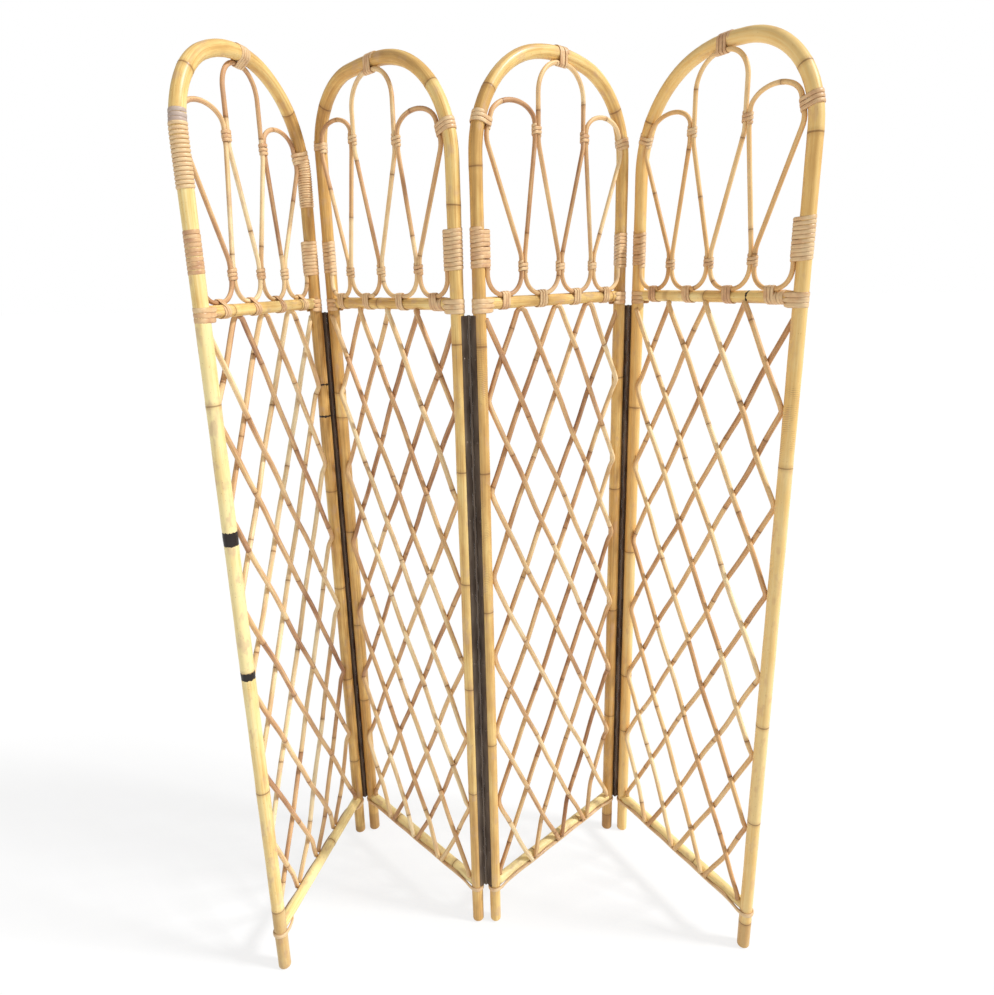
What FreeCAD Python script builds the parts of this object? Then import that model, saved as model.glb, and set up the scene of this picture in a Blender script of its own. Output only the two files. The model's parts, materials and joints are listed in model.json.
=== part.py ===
import FreeCAD
import Part

import functools
import math
import os

from FreeCAD import Placement, Rotation, Vector

# Rattan folding screen: four arched panels in a row, joined by three long strip hinges.
# Millimetres, +Z up. The screen stands folded in a zigzag with its origin on the floor, under the
# middle of the row, and is seen from -Y. Each panel is drawn in a frame of its own, in which X runs
# from its left pole to its right pole and its face looks along -Y, and is then moved to its place.

# Hoop: two poles and an arch bent from one cane
HEIGHT = 1800.0
POLE_SPACING = 408.0
POLE_DIAMETER = 24.0
FOOT_ROUNDING = 4.5

# Rails between the poles
RAIL_DIAMETER = 22.0
MID_RAIL_HEIGHT = 1360.0
BOTTOM_RAIL_HEIGHT = 100.0
NAIL_DIAMETER = 3.0
NAIL_LENGTH = 60.0
NAIL_HEAD_DIAMETER = 6.0
NAIL_HEAD_THICKNESS = 1.2
NAIL_SINK = 0.5

# Looped rod in the arch, which lies in front of the middle plane of the panel
LOOP_ROD_DIAMETER = 9.0
LOOP_FORWARD = 7.0
LOOP_TAIL = 6.0
LOOP_U_RADIUS = 38.0
LOOP_BEND_RADIUS = 40.0
LOOP_SIDE_RADIUS = 32.0
LOOP_TOP_RADIUS = 36.0
LOOP_CROWN_RADIUS = 56.0
LOOP_LEAN = 32.0
LOOP_LEAN_RISE = 17.0
LOOP_LEAN_RADIUS = 26.0
ARCH_SLACK = 1.2
LOOP_U_FLAT = 14.0
BEND_STEPS = 12

# Heights in the arch, as shares of the way from the mid rail to the top of the arch
LOWER_TIE_SHARE = 0.145
UPPER_TIE_SHARE = 0.689
SIDE_LOOP_SHARE = 0.786
LOOP_SPREAD_SHARE = 0.045
POLE_WRAP_SHARE = 0.136

# Diamond lattice between the rails: rods leaning one way lie in front of those leaning the other way
LATTICE_ROD_DIAMETER = 10.0
LATTICE_COLUMNS = 4
LATTICE_ROWS = 7
LATTICE_BACK_LAYER = -1.0
LATTICE_BEND_RADIUS = 16.0
LATTICE_BEND_HALF = 9.0
HAIRPIN_HALF_WIDTH = 4.5
HAIRPIN_RADIUS = 6.5
LATTICE_END_HALF_GAP = 5.5
LATTICE_END_BEND_RADIUS = 60.0
LATTICE_END_RISE = 74.0
LATTICE_END_DROP = 2.0
LATTICE_FOOT_RISE = 11.0

# Flat cane that binds the rods to the frame
CANE_WIDTH = 5.4
CANE_THICKNESS = 1.5
CANE_PITCH = 6.9
CANE_TAIL = 2.5
CANE_EDGE_SHARE = 0.4
NARROW_CANE_WIDTH = 4.1
NARROW_CANE_PITCH = 6.4
POLE_WRAP_TURNS = 10
POLE_WRAP_ROOM = 0.39
TIE_TURNS = 3
STRAP_WIDTH = 8.0
STRAP_PITCH = 8.7
STRAP_THICKNESS = 1.4
STRAPS_PER_JOINT = 3
STRAP_REACH = 26.0
FOOT_BINDING_WIDTH = 9.0
FOOT_BINDING_THICKNESS = 1.6
FOOT_BINDING_DROP = 9.6
FOOT_BINDING_REACH = 36.0
BINDING_LEAD = 14.0
BINDING_BEND_RADIUS = 30.0

# Round cord over the two pole splices of the first panel
SPLICE_CORD_DIAMETER = 3.0
SPLICE_CORD_PITCH = 4.5
SPLICE_TURNS = 17
SPLICE_ROOM = 0.36
SPLICE_DROP = 8.0

# Strip hinges
HINGE_LEAF_WIDTH = 16.0
HINGE_LEAF_THICKNESS = 0.9
HINGE_BARREL_DIAMETER = 5.0
HINGE_PIN_DIAMETER = 2.2
HINGE_PIN_FORWARD = 14.0
HINGE_SEAT_DEPTH = 0.6
HINGE_TOP_DROP = 20.0
HINGE_BOTTOM_RISE = 12.0
HINGE_KNUCKLES = 49
PIN_HEAD_THICKNESS = 0.8
SCREWS_PER_LEAF = 8
SCREW_DIAMETER = 2.8
SCREW_LENGTH = 12.0
SCREW_HEAD_DIAMETER = 6.0
SCREW_HEAD_HEIGHT = 1.2
SCREW_FROM_PIN = 11.0

# Clearances
FIT = 0.1
SEAT_GAP = 0.25
CANE_GAP = 0.15
BOW_GAP = 0.5
KNUCKLE_GAP = 0.4
PIN_GAP = 0.3


class Panel:
    """What sets one panel of the row apart: its place, the bend of its arch and its tie places."""

    def __init__(self, yaw, sides, lower_shift, upper_shift, hinges, turned=False, spliced=False):
        self.yaw = yaw
        self.turned = turned
        self.sides = sides
        self.lower_shift = lower_shift
        self.upper_shift = upper_shift
        self.hinges = hinges
        self.spliced = spliced


# Each side of an arch has a shoulder (rise of the arch, radius of its bend) and a lift of the loop and
# the ties beside it. Hinges are {pole: side that the pin is on}, where pole 0 is the left one and 1 the
# right one, and the face of the panel is side -1.
PANELS = [
    Panel(
        76.0, [((182, 172), -10), ((161, 149), -6)], [6, -6, -12], [8, -8], {0: 1}, turned=True, spliced=True
    ),
    Panel(-47.0, [((129, 127), 12), ((192, 190), -9)], [-15, -10, 5], [-10, -8], {0: -1, 1: 1}),
    Panel(43.0, [((186, 184), 0), ((163, 158), 0)], [4, 5, 0], [8, 6], {0: 1, 1: -1}),
    Panel(-61.0, [((190, 188), 0), ((171, 169), 0)], [0, 0, 1], [9, 3], {0: -1}),
]

pole_r = POLE_DIAMETER / 2
rail_r = RAIL_DIAMETER / 2
loop_r = LOOP_ROD_DIAMETER / 2
lattice_r = LATTICE_ROD_DIAMETER / 2
barrel_r = HINGE_BARREL_DIAMETER / 2
apex_z = HEIGHT - pole_r

# In-plane distance of the looped rod from a pole axis and from the mid rail axis
loop_reach = math.sqrt((pole_r + loop_r + SEAT_GAP) ** 2 - LOOP_FORWARD**2)
loop_over_rail = math.sqrt((rail_r + loop_r + SEAT_GAP) ** 2 - LOOP_FORWARD**2)
strand_half = loop_r + CANE_GAP
loop_low_z = MID_RAIL_HEIGHT + loop_over_rail
arch_room = apex_z - MID_RAIL_HEIGHT
lower_tie_z = MID_RAIL_HEIGHT + LOWER_TIE_SHARE * arch_room
upper_tie_z = MID_RAIL_HEIGHT + UPPER_TIE_SHARE * arch_room
side_loop_z = MID_RAIL_HEIGHT + SIDE_LOOP_SHARE * arch_room
loop_spread = LOOP_SPREAD_SHARE * arch_room
pole_wrap_z = MID_RAIL_HEIGHT + POLE_WRAP_SHARE * arch_room
crown_z = apex_z - loop_reach - ARCH_SLACK
tie_half = (TIE_TURNS - 0.5) * CANE_PITCH / 2 + CANE_WIDTH / 2

# Pin of a hinge, outward from the pole axis
hinge_out = pole_r - HINGE_SEAT_DEPTH + barrel_r
hinge_top = MID_RAIL_HEIGHT - HINGE_TOP_DROP
hinge_bottom = BOTTOM_RAIL_HEIGHT + HINGE_BOTTOM_RISE
hinge_length = hinge_top - hinge_bottom


def place(shape, origin, x_axis, z_axis):
    """A copy of a shape that was drawn about Z, moved to origin with its X and Z axes turned."""
    y_axis = z_axis.cross(x_axis)
    moved = shape.copy()
    moved.Placement = Placement(origin, Rotation(x_axis, y_axis, z_axis, "ZXY"))
    return moved


def group(shapes):
    return Part.Compound(shapes)


def tangent_arc(start, direction, end):
    """Arc that leaves start along direction and goes to end."""
    chord = end - start
    along = Vector(chord).normalize()
    swing = direction.getAngle(chord)
    side = (direction - along * direction.dot(along)).normalize()
    middle = (start + end) * 0.5 + side * (chord.Length / 2 * math.tan(swing / 2))
    return Part.Arc(start, middle, end).toShape()


def biarc(start, start_direction, end, end_direction):
    """Two tangent arcs from start to end with the given directions at both ends."""
    chord = end - start
    both = start_direction + end_direction
    turn = 2 * (1 - start_direction.dot(end_direction))
    reach = chord.dot(both)
    length = (math.sqrt(reach * reach + turn * chord.dot(chord)) - reach) / turn
    joint = (start + end + (start_direction - end_direction) * length) * 0.5
    first = tangent_arc(start, start_direction, joint)
    return [first, tangent_arc(joint, path_end([first]), end)]


def corner_half(before, corner, after):
    return (before - corner).getAngle(after - corner) / 2


def corner_cuts(points, radii):
    """How far back from each corner its rounding starts, less where two roundings meet on a short run."""
    corners = zip(points, points[1:], points[2:], radii)
    cuts = [0.0] + [radius / math.tan(corner_half(a, b, c)) for a, b, c, radius in corners] + [0.0]
    shares = [1.0] * len(cuts)
    for index, (start, end) in enumerate(zip(points, points[1:])):
        taken = cuts[index] + cuts[index + 1]
        share = min(1.0, start.distanceToPoint(end) / taken) if taken else 1.0
        shares[index] = min(shares[index], share)
        shares[index + 1] = min(shares[index + 1], share)
    return [cut * share for cut, share in zip(cuts, shares)][1:-1]


def rounded_path(points, radii):
    """Straight runs through points, with each inner corner rounded to its radius."""
    edges = []
    start = points[0]
    cuts = corner_cuts(points, radii)
    for before, corner, after, cut in zip(points, points[1:], points[2:], cuts):
        back = (before - corner).normalize()
        ahead = (after - corner).normalize()
        half = corner_half(before, corner, after)
        radius = cut * math.tan(half)
        inward = (back + ahead).normalize()
        first = corner + back * cut
        last = corner + ahead * cut
        middle = corner + inward * (radius / math.sin(half) - radius)
        if (first - start).Length > FIT / 100:
            edges.append(Part.LineSegment(start, first).toShape())
        edges.append(Part.Arc(first, middle, last).toShape())
        start = last
    if (points[-1] - start).Length > FIT / 100:
        edges.append(Part.LineSegment(start, points[-1]).toShape())
    return edges


def path_start(edges):
    first = edges[0]
    return first.valueAt(first.FirstParameter), first.tangentAt(first.FirstParameter)


def path_end(edges):
    return edges[-1].tangentAt(edges[-1].LastParameter)


def sweep(edges, section):
    shell = Part.BRepOffsetAPI.MakePipeShell(Part.Wire(edges))
    shell.add(Part.Wire(section))
    shell.build()
    shell.makeSolid()
    return shell.shape()


def rod(edges, diameter):
    start, direction = path_start(edges)
    return sweep(edges, [Part.makeCircle(diameter / 2, start, direction)])


def strip(edges, width, thickness):
    """Flat cane with upright sides, flat within and domed on the outside of a counter-clockwise path."""
    start, direction = path_start(edges)
    outside = direction.cross(Vector(0, 0, 1)).normalize()
    up = Vector(0, 0, width / 2)
    inner = start - outside * (thickness / 2)
    shoulder = inner + outside * (thickness * CANE_EDGE_SHARE)
    crown = start + outside * (thickness / 2)
    low, high = inner - up, inner + up
    section = [Part.LineSegment(low, high), Part.LineSegment(high, shoulder + up)]
    section.append(Part.Arc(shoulder + up, crown, shoulder - up))
    section.append(Part.LineSegment(shoulder - up, low))
    return sweep(edges, [piece.toShape() for piece in section])


def least_gap(name, edges, turn_length, size):
    """Prints the least gap between a winding's turns, measured on points along its path."""
    points = []
    travelled = 0.0
    for edge in edges:
        for point in edge.discretize(6)[:-1]:
            points.append((travelled + edge.Length * 0.5, point))
        travelled += edge.Length
    gap = turn_length
    for here, a in points:
        for there, b in points:
            if turn_length * 0.6 < there - here < turn_length * 1.4:
                gap = min(gap, a.distanceToPoint(b) - size)
    print(f"{name}: least gap between turns {gap:.2f} mm")


def climb(start, end):
    """S-shaped biarc that steps up from one level to the next on a straight stretch."""
    level = Vector(end.x - start.x, end.y - start.y, 0).normalize()
    middle = (start + end) * 0.5
    first = tangent_arc(start, level, middle)
    return [first, tangent_arc(middle, path_end([first]), end)]


@functools.lru_cache(maxsize=None)
def belt_winding(name, bar_a, bar_b, apart, turns, pitch, width, gap):
    """Flat cane wound round two bars along Z, A on the axis and B at X = apart, centred on Z = 0."""
    radius_a = bar_a + gap + CANE_THICKNESS / 2
    radius_b = bar_b + gap + CANE_THICKNESS / 2
    lean = math.acos((radius_a - radius_b) / apart)

    def on_a(angle, z):
        return Vector(radius_a * math.cos(angle), radius_a * math.sin(angle), z)

    def on_b(angle, z):
        return Vector(apart + radius_b * math.cos(angle), radius_b * math.sin(angle), z)

    z = -(turns - 0.5) * pitch / 2
    straight = on_a(-lean, z) - on_b(-lean, z)
    tail = Vector(straight).normalize() * CANE_TAIL
    edges = [Part.LineSegment(on_b(-lean, z) + tail, on_b(-lean, z)).toShape()]
    for turn in range(turns):
        if turn:
            edges += climb(on_a(-lean, z), on_b(-lean, z + pitch / 2))
            z += pitch / 2
        edges.append(Part.Arc(on_b(-lean, z), on_b(0, z), on_b(lean, z)).toShape())
        edges += climb(on_b(lean, z), on_a(lean, z + pitch / 2))
        z += pitch / 2
        quarter = (math.pi - lean) / 2
        edges.append(Part.Arc(on_a(lean, z), on_a(lean + quarter, z), on_a(math.pi, z)).toShape())
        edges.append(Part.Arc(on_a(math.pi, z), on_a(-lean - quarter, z), on_a(-lean, z)).toShape())
    edges.append(Part.LineSegment(on_a(-lean, z), on_a(-lean, z) - tail).toShape())
    around = 2 * (math.pi - lean) * radius_a + 2 * lean * radius_b + 2 * straight.Length
    least_gap(name, edges, around, width)
    return strip(edges, width, CANE_THICKNESS)


@functools.lru_cache(maxsize=None)
def cord_winding(bar, turns):
    """Round cord wound on one bar along Z, from Z = 0 upwards, with straight ends."""
    radius = bar + CANE_GAP + SPLICE_CORD_DIAMETER / 2
    rise = SPLICE_CORD_PITCH / (2 * math.pi * radius)

    def point(half_turns):
        angle = half_turns * math.pi
        z = half_turns * SPLICE_CORD_PITCH / 2
        return Vector(radius * math.cos(angle), radius * math.sin(angle), z)

    def heading(half_turns):
        angle = half_turns * math.pi
        return Vector(-math.sin(angle), math.cos(angle), rise).normalize()

    last = turns * 2
    tail = SPLICE_CORD_DIAMETER
    edges = [Part.LineSegment(point(0) - heading(0) * tail, point(0)).toShape()]
    for half in range(last):
        edges += biarc(point(half), heading(half), point(half + 1), heading(half + 1))
    edges.append(Part.LineSegment(point(last), point(last) + heading(last) * tail).toShape())
    least_gap("splice cord", edges, 2 * math.pi * radius, SPLICE_CORD_DIAMETER)
    return rod(edges, SPLICE_CORD_DIAMETER)


def at(x, forward, z):
    """A point of a panel: along its width, forward of its middle plane, and up."""
    return Vector(x, -forward, z)


def arch_top_radius(shoulder):
    """Radius of the arc over the top of an arch, which is level at the apex and meets the side arc."""
    rise, radius = shoulder
    half = POLE_SPACING / 2
    return ((half - radius) ** 2 + rise**2 - radius**2) / (2 * (rise - radius))


def arch_joints(shoulder):
    """Where the left half of an arch starts to bend, and where its side arc meets its top arc."""
    rise, radius = shoulder
    top = arch_top_radius(shoulder)
    side_centre = Vector(radius, 0, apex_z - rise)
    top_centre = Vector(POLE_SPACING / 2, 0, apex_z - top)
    outward = (side_centre - top_centre).normalize()
    if top < radius:
        outward = outward * -1
    return Vector(0, 0, side_centre.z), side_centre + outward * radius


def mirrored(point):
    return Vector(POLE_SPACING - point.x, point.y, point.z)


def hoop_path(sides):
    """From the left foot up the pole, over the arch and down to the right foot."""
    apex = Vector(POLE_SPACING / 2, 0, apex_z)
    foot = Vector(0, 0, 0)
    halves = []
    for shoulder, lift in sides:
        spring, joint = arch_joints(shoulder)
        halves.append([foot, spring, joint])
    left = halves[0]
    right = [mirrored(point) for point in halves[1]]
    edges = [Part.LineSegment(left[0], left[1]).toShape(), tangent_arc(left[1], Vector(0, 0, 1), left[2])]
    edges.append(tangent_arc(left[2], path_end(edges), apex))
    edges.append(tangent_arc(apex, Vector(1, 0, 0), right[2]))
    edges.append(tangent_arc(right[2], path_end(edges), right[1]))
    edges.append(Part.LineSegment(right[1], right[0]).toShape())
    return edges


def rail_nail(pole, height):
    """Nail driven through a pole into the end of a rail."""
    inward = 1 if pole == 0 else -1
    axis = Vector(inward, 0, 0)
    pole_x = POLE_SPACING * pole
    head = Vector(pole_x - inward * (pole_r - NAIL_SINK), 0, height)
    solid = Part.makeCylinder(NAIL_HEAD_DIAMETER / 2, NAIL_HEAD_THICKNESS, head, axis)
    return solid.fuse(Part.makeCylinder(NAIL_DIAMETER / 2, NAIL_LENGTH, head, axis)).removeSplitter()


def nail_hole(pole, height):
    """Drilled hole for a rail nail, with a sunk seat for its head that opens on the pole's outside."""
    inward = 1 if pole == 0 else -1
    axis = Vector(inward, 0, 0)
    outside = Vector(POLE_SPACING * pole - inward * (pole_r + NAIL_SINK), 0, height)
    depth = 2 * NAIL_SINK + NAIL_HEAD_THICKNESS + FIT
    hole = Part.makeCylinder(NAIL_HEAD_DIAMETER / 2 + FIT, depth, outside, axis)
    length = 2 * NAIL_SINK + NAIL_LENGTH + FIT
    return hole.fuse(Part.makeCylinder(NAIL_DIAMETER / 2 + FIT, length, outside, axis))


def nail_places():
    return [(pole, height) for pole in (0, 1) for height in (MID_RAIL_HEIGHT, BOTTOM_RAIL_HEIGHT)]


def rail_nails():
    return group([rail_nail(pole, height) for pole, height in nail_places()])


def hinge_seat(pole):
    """What is planed off the outside of a pole, so that a hinge leaf lies flat on it."""
    depth = 2 * pole_r
    low = hinge_bottom - KNUCKLE_GAP
    height = hinge_length + 2 * KNUCKLE_GAP
    seat = Part.makeBox(depth, depth, height, Vector(pole_r - HINGE_SEAT_DEPTH, -pole_r, low))
    return seat if pole else seat.mirror(Vector(0, 0, 0), Vector(1, 0, 0))


def screw_heights():
    step = hinge_length / SCREWS_PER_LEAF
    return [hinge_bottom + step * (index + 0.5) for index in range(SCREWS_PER_LEAF)]


def screw_origin(pole, side, height):
    """Where a hinge screw's head rests on its leaf, with the direction in which it is driven."""
    inward = -1 if pole else 1
    out = hinge_out - barrel_r + HINGE_LEAF_THICKNESS
    x = POLE_SPACING * pole - inward * out
    y = side * (HINGE_PIN_FORWARD - SCREW_FROM_PIN)
    return Vector(x, y, height), Vector(inward, 0, 0)


def hinge_screws(panel):
    screws = []
    for pole, side in panel.hinges.items():
        for height in screw_heights():
            head, inward = screw_origin(pole, side, height)
            shank_r = SCREW_DIAMETER / 2
            dome = Part.makeCone(SCREW_HEAD_DIAMETER / 2, shank_r, SCREW_HEAD_HEIGHT, head, inward * -1)
            shank = Part.makeCylinder(shank_r, SCREW_LENGTH, head, inward)
            screws.append(dome.fuse(shank).removeSplitter())
    return group(screws)


def hoop(panel):
    """Cane hoop with rounded feet, planed hinge seats and the holes of its nails and screws."""
    solid = rod(hoop_path(panel.sides), POLE_DIAMETER)
    ends = [edge for edge in solid.Edges if edge.BoundBox.ZMax < FIT]
    solid = solid.makeFillet(FOOT_ROUNDING, ends)
    cuts = [nail_hole(pole, height) for pole, height in nail_places()]
    for pole, side in panel.hinges.items():
        cuts.append(hinge_seat(pole).translate(Vector(POLE_SPACING * pole, 0, 0)))
        for height in screw_heights():
            head, inward = screw_origin(pole, side, height)
            cuts.append(Part.makeCylinder(SCREW_DIAMETER / 2 + FIT, SCREW_LENGTH + FIT, head, inward))
    return solid.cut(cuts).Solids[0]


def rail(height):
    """Straight cane between the poles, with ends hollowed to sit against them."""
    solid = Part.makeCylinder(rail_r, POLE_SPACING, Vector(0, 0, height), Vector(1, 0, 0))
    cuts = []
    for pole in (0, 1):
        low = Vector(POLE_SPACING * pole, 0, height - RAIL_DIAMETER)
        cuts.append(Part.makeCylinder(pole_r + FIT, 2 * RAIL_DIAMETER, low))
        cuts.append(nail_hole(pole, height))
    return solid.cut(cuts).Solids[0]


def lower_ties(panel):
    """Places along the panel where neighbouring loops are tied low down."""
    return [POLE_SPACING * (index + 1) / 4 + shift for index, shift in enumerate(panel.lower_shift)]


def upper_ties(panel):
    """Places along the panel where neighbouring loops are tied high up."""
    return [POLE_SPACING * (index + 1) / 3 + shift for index, shift in enumerate(panel.upper_shift)]


def u_spans(panel):
    """Ends of the stretches in which the looped rod dips to the mid rail."""
    ends = [loop_reach]
    for tie in lower_ties(panel):
        ends += [tie - strand_half, tie + strand_half]
    ends.append(POLE_SPACING - loop_reach)
    return list(zip(ends[0::2], ends[1::2]))


def turn_radius(span, largest):
    """Radius of the two bends at the ends of a level stretch, which leave room between them for a tie."""
    return min(largest, (span[1] - span[0] - LOOP_U_FLAT) / 2)


def side_contact(side):
    """Where the left loop touches the arch: the arch's axis, the rod's axis and their direction."""
    (rise, radius), lift = side
    rod_radius = radius - loop_reach - ARCH_SLACK
    tie_z = upper_tie_z + lift
    centre = Vector(radius, 0, min(apex_z - rise, tie_z))
    swing = math.asin((tie_z - centre.z) / rod_radius)
    outward = Vector(-math.cos(swing), 0, math.sin(swing))
    up = Vector(math.sin(swing), 0, math.cos(swing))
    return centre + outward * radius, centre + outward * rod_radius, up


def side_loop(lower, upper, side):
    """Corners and radii of the loop beside the left pole, from its lower tie round to its upper tie."""
    lift = side[1]
    top_z = side_loop_z + lift
    first = Vector(lower - strand_half, 0, lower_tie_z + loop_spread)
    contact, up = side_contact(side)[1:]
    # The bend below the contact starts where the tie ends, which sets how far down its corner lies
    reach = tie_half
    for step in range(BEND_STEPS):
        turn = (contact - up * reach - first).getAngle(up)
        reach = tie_half + LOOP_SIDE_RADIUS * math.tan(turn / 2)
    crown = contact + up * ((top_z - contact.z) / up.z)
    over = up.getAngle(Vector(1, 0, 0))
    crown_radius = ((crown - contact).Length - tie_half) / math.tan(over / 2)
    # Above its upper tie the loop leans away from its neighbour
    lean = Vector(upper - strand_half, 0, upper_tie_z + lift + LOOP_LEAN_RISE)
    corner = Vector(lean.x - (top_z - lean.z) * math.tan(math.radians(LOOP_LEAN)), 0, top_z)
    high = Vector(lean.x, 0, upper_tie_z + lift - loop_spread)
    points = [first, contact - up * reach, crown, corner, lean, high]
    radii = [LOOP_BEND_RADIUS, LOOP_SIDE_RADIUS, crown_radius]
    return points, radii + [LOOP_TOP_RADIUS, LOOP_LEAN_RADIUS, LOOP_BEND_RADIUS]


def loop_rod(panel):
    """One rod that dips to the mid rail four times and rises in three loops between the dips."""
    lower = lower_ties(panel)
    upper = upper_ties(panel)
    spans = u_spans(panel)
    dip = [turn_radius(span, LOOP_U_RADIUS) for span in spans]
    crown = (upper[0] + strand_half, upper[1] - strand_half)
    crown_radius = turn_radius(crown, LOOP_CROWN_RADIUS)
    low_bend = lower_tie_z + loop_spread
    high_bends = [upper_tie_z + lift - loop_spread for shoulder, lift in panel.sides]
    left_tail, right_tail = [wrap_top(shoulder) + LOOP_TAIL for shoulder, lift in panel.sides]
    left, left_radii = side_loop(lower[0], upper[0], panel.sides[0])
    right, right_radii = side_loop(POLE_SPACING - lower[2], POLE_SPACING - upper[1], panel.sides[1])
    bend = LOOP_BEND_RADIUS

    corners = [(loop_reach, loop_low_z, dip[0]), (lower[0] - strand_half, loop_low_z, dip[0])]
    corners += [(p.x, p.z, r) for p, r in zip(left, left_radii)]
    corners += [(lower[0] + strand_half, low_bend, bend)]
    corners += [(x, loop_low_z, dip[1]) for x in spans[1]]
    corners += [(lower[1] - strand_half, low_bend, bend), (crown[0], high_bends[0], bend)]
    corners += [(x, crown_z, crown_radius) for x in crown]
    corners += [(crown[1], high_bends[1], bend), (lower[1] + strand_half, low_bend, bend)]
    corners += [(x, loop_low_z, dip[2]) for x in spans[2]]
    corners += [(lower[2] - strand_half, low_bend, bend)]
    corners += [(POLE_SPACING - p.x, p.z, r) for p, r in zip(right[::-1], right_radii[::-1])]
    corners += [(x, loop_low_z, dip[3]) for x in spans[3]]

    points = [at(loop_reach, LOOP_FORWARD, left_tail)]
    points += [at(x, LOOP_FORWARD, z) for x, z, radius in corners]
    points.append(at(POLE_SPACING - loop_reach, LOOP_FORWARD, right_tail))
    return rod(rounded_path(points, [radius for x, z, radius in corners]), LOOP_ROD_DIAMETER)


class Lattice:
    """Grid that the diamonds follow: rods touch the poles at equal steps from rail to rail."""

    front = LATTICE_BACK_LAYER + LATTICE_ROD_DIAMETER + SEAT_GAP
    back = LATTICE_BACK_LAYER
    left = pole_r + lattice_r + SEAT_GAP
    right = POLE_SPACING - left
    column = (right - left) / LATTICE_COLUMNS
    top = MID_RAIL_HEIGHT - rail_r
    foot = BOTTOM_RAIL_HEIGHT + rail_r + LATTICE_FOOT_RISE
    row = (top - foot) / LATTICE_ROWS
    hairpin_z = top - lattice_r - SEAT_GAP
    over_rail = rail_r + lattice_r + 3 * SEAT_GAP

    @classmethod
    def level(cls, row):
        return cls.top - row * cls.row

    @classmethod
    def layer(cls, heading):
        """Rods that run down to the right lie in front."""
        return cls.front if heading > 0 else cls.back


def lattice_arm(column, heading):
    """Corners and radii of one rod from the mid rail downwards, turning back at each pole it meets."""
    points = []
    radii = []
    row = 0
    while True:
        layer = Lattice.layer(heading)
        steps = LATTICE_COLUMNS - column if heading > 0 else column
        wall = Lattice.right if heading > 0 else Lattice.left
        if row + steps > LATTICE_ROWS:
            break
        row += steps
        column += steps * heading
        level = Lattice.level(row)
        if row == LATTICE_ROWS:
            points += [at(wall, layer, level), at(wall, layer, BOTTOM_RAIL_HEIGHT + rail_r + SEAT_GAP)]
            radii += [LATTICE_BEND_RADIUS]
            return points, radii
        heading = -heading
        points.append(at(wall, layer, level + LATTICE_BEND_HALF))
        points.append(at(wall, Lattice.layer(heading), level - LATTICE_BEND_HALF))
        radii += [LATTICE_BEND_RADIUS, LATTICE_BEND_RADIUS]
    column += heading * (LATTICE_ROWS - row)
    last = points[-1]
    end_x = Lattice.left + column * Lattice.column - heading * LATTICE_END_HALF_GAP
    end_z = BOTTOM_RAIL_HEIGHT - LATTICE_END_DROP
    share = (last.z - end_z - LATTICE_END_RISE) / (last.z - end_z)
    knee_x = last.x + (end_x - last.x) * share
    layer = Lattice.layer(heading)
    slope = (Lattice.over_rail - layer) / (LATTICE_END_RISE - LATTICE_END_DROP)
    points.append(at(knee_x, layer, end_z + LATTICE_END_RISE))
    points.append(at(end_x, layer + slope * LATTICE_END_RISE, end_z))
    radii.append(LATTICE_END_BEND_RADIUS)
    return points, radii


def hairpin_rod(column):
    """Rod bent double under the mid rail, with one arm running down to each side."""
    middle = Lattice.left + column * Lattice.column
    left, left_radii = lattice_arm(column, -1)
    right, right_radii = lattice_arm(column, 1)
    crown = [at(middle - HAIRPIN_HALF_WIDTH, Lattice.back, Lattice.hairpin_z)]
    crown.append(at(middle + HAIRPIN_HALF_WIDTH, Lattice.front, Lattice.hairpin_z))
    radii = left_radii[::-1] + [HAIRPIN_RADIUS, HAIRPIN_RADIUS] + right_radii
    return rod(rounded_path(left[::-1] + crown + right, radii), LATTICE_ROD_DIAMETER)


def corner_rod(heading):
    """Rod that starts beside a pole, in a top corner of the lattice."""
    column = 0 if heading > 0 else LATTICE_COLUMNS
    wall = Lattice.left if heading > 0 else Lattice.right
    points, radii = lattice_arm(column, heading)
    layer = Lattice.layer(heading)
    start = at(wall, layer, Lattice.hairpin_z)
    bend = at(wall, layer, Lattice.hairpin_z - LATTICE_BEND_HALF)
    path = rounded_path([start, bend] + points, [LATTICE_BEND_RADIUS] + radii)
    return rod(path, LATTICE_ROD_DIAMETER)


def lattice_rods():
    rods = [hairpin_rod(column) for column in range(1, LATTICE_COLUMNS)]
    return group(rods + [corner_rod(1), corner_rod(-1)])


def turns_with_room(most, pitch, share, shoulder):
    """As many turns as a winding has, or as fit in its share of the pole below the bend of the arch."""
    room = arch_joints(shoulder)[0].z - pole_wrap_z
    return min(most, math.floor(share * room / pitch))


def wrap_turns(shoulder):
    return turns_with_room(POLE_WRAP_TURNS, CANE_PITCH, POLE_WRAP_ROOM, shoulder)


def wrap_top(shoulder):
    return pole_wrap_z + wrap_turns(shoulder) * CANE_PITCH


def pole_wraps(panel):
    """Cane that binds the ends of the looped rod to the poles, and the cord over any splices."""
    up = Vector(0, 0, 1)
    apart = math.hypot(loop_reach, LOOP_FORWARD)
    wraps = []
    for pole, (shoulder, lift) in enumerate(panel.sides):
        pole_x = POLE_SPACING * pole
        towards = at(-loop_reach if pole else loop_reach, LOOP_FORWARD, 0).normalize()
        turns = wrap_turns(shoulder)
        wrap = belt_winding("pole wrap", pole_r, loop_r, apart, turns, CANE_PITCH, CANE_WIDTH, CANE_GAP)
        middle_z = (pole_wrap_z + wrap_top(shoulder)) / 2
        wraps.append(place(wrap, Vector(pole_x, 0, middle_z), towards, up))
        if panel.spliced:
            turns = turns_with_room(SPLICE_TURNS, SPLICE_CORD_PITCH, SPLICE_ROOM, shoulder)
            low = arch_joints(shoulder)[0].z - SPLICE_DROP - turns * SPLICE_CORD_PITCH
            wraps.append(place(cord_winding(pole_r, turns), Vector(pole_x, 0, low), Vector(1, 0, 0), up))
    return group(wraps)


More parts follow.
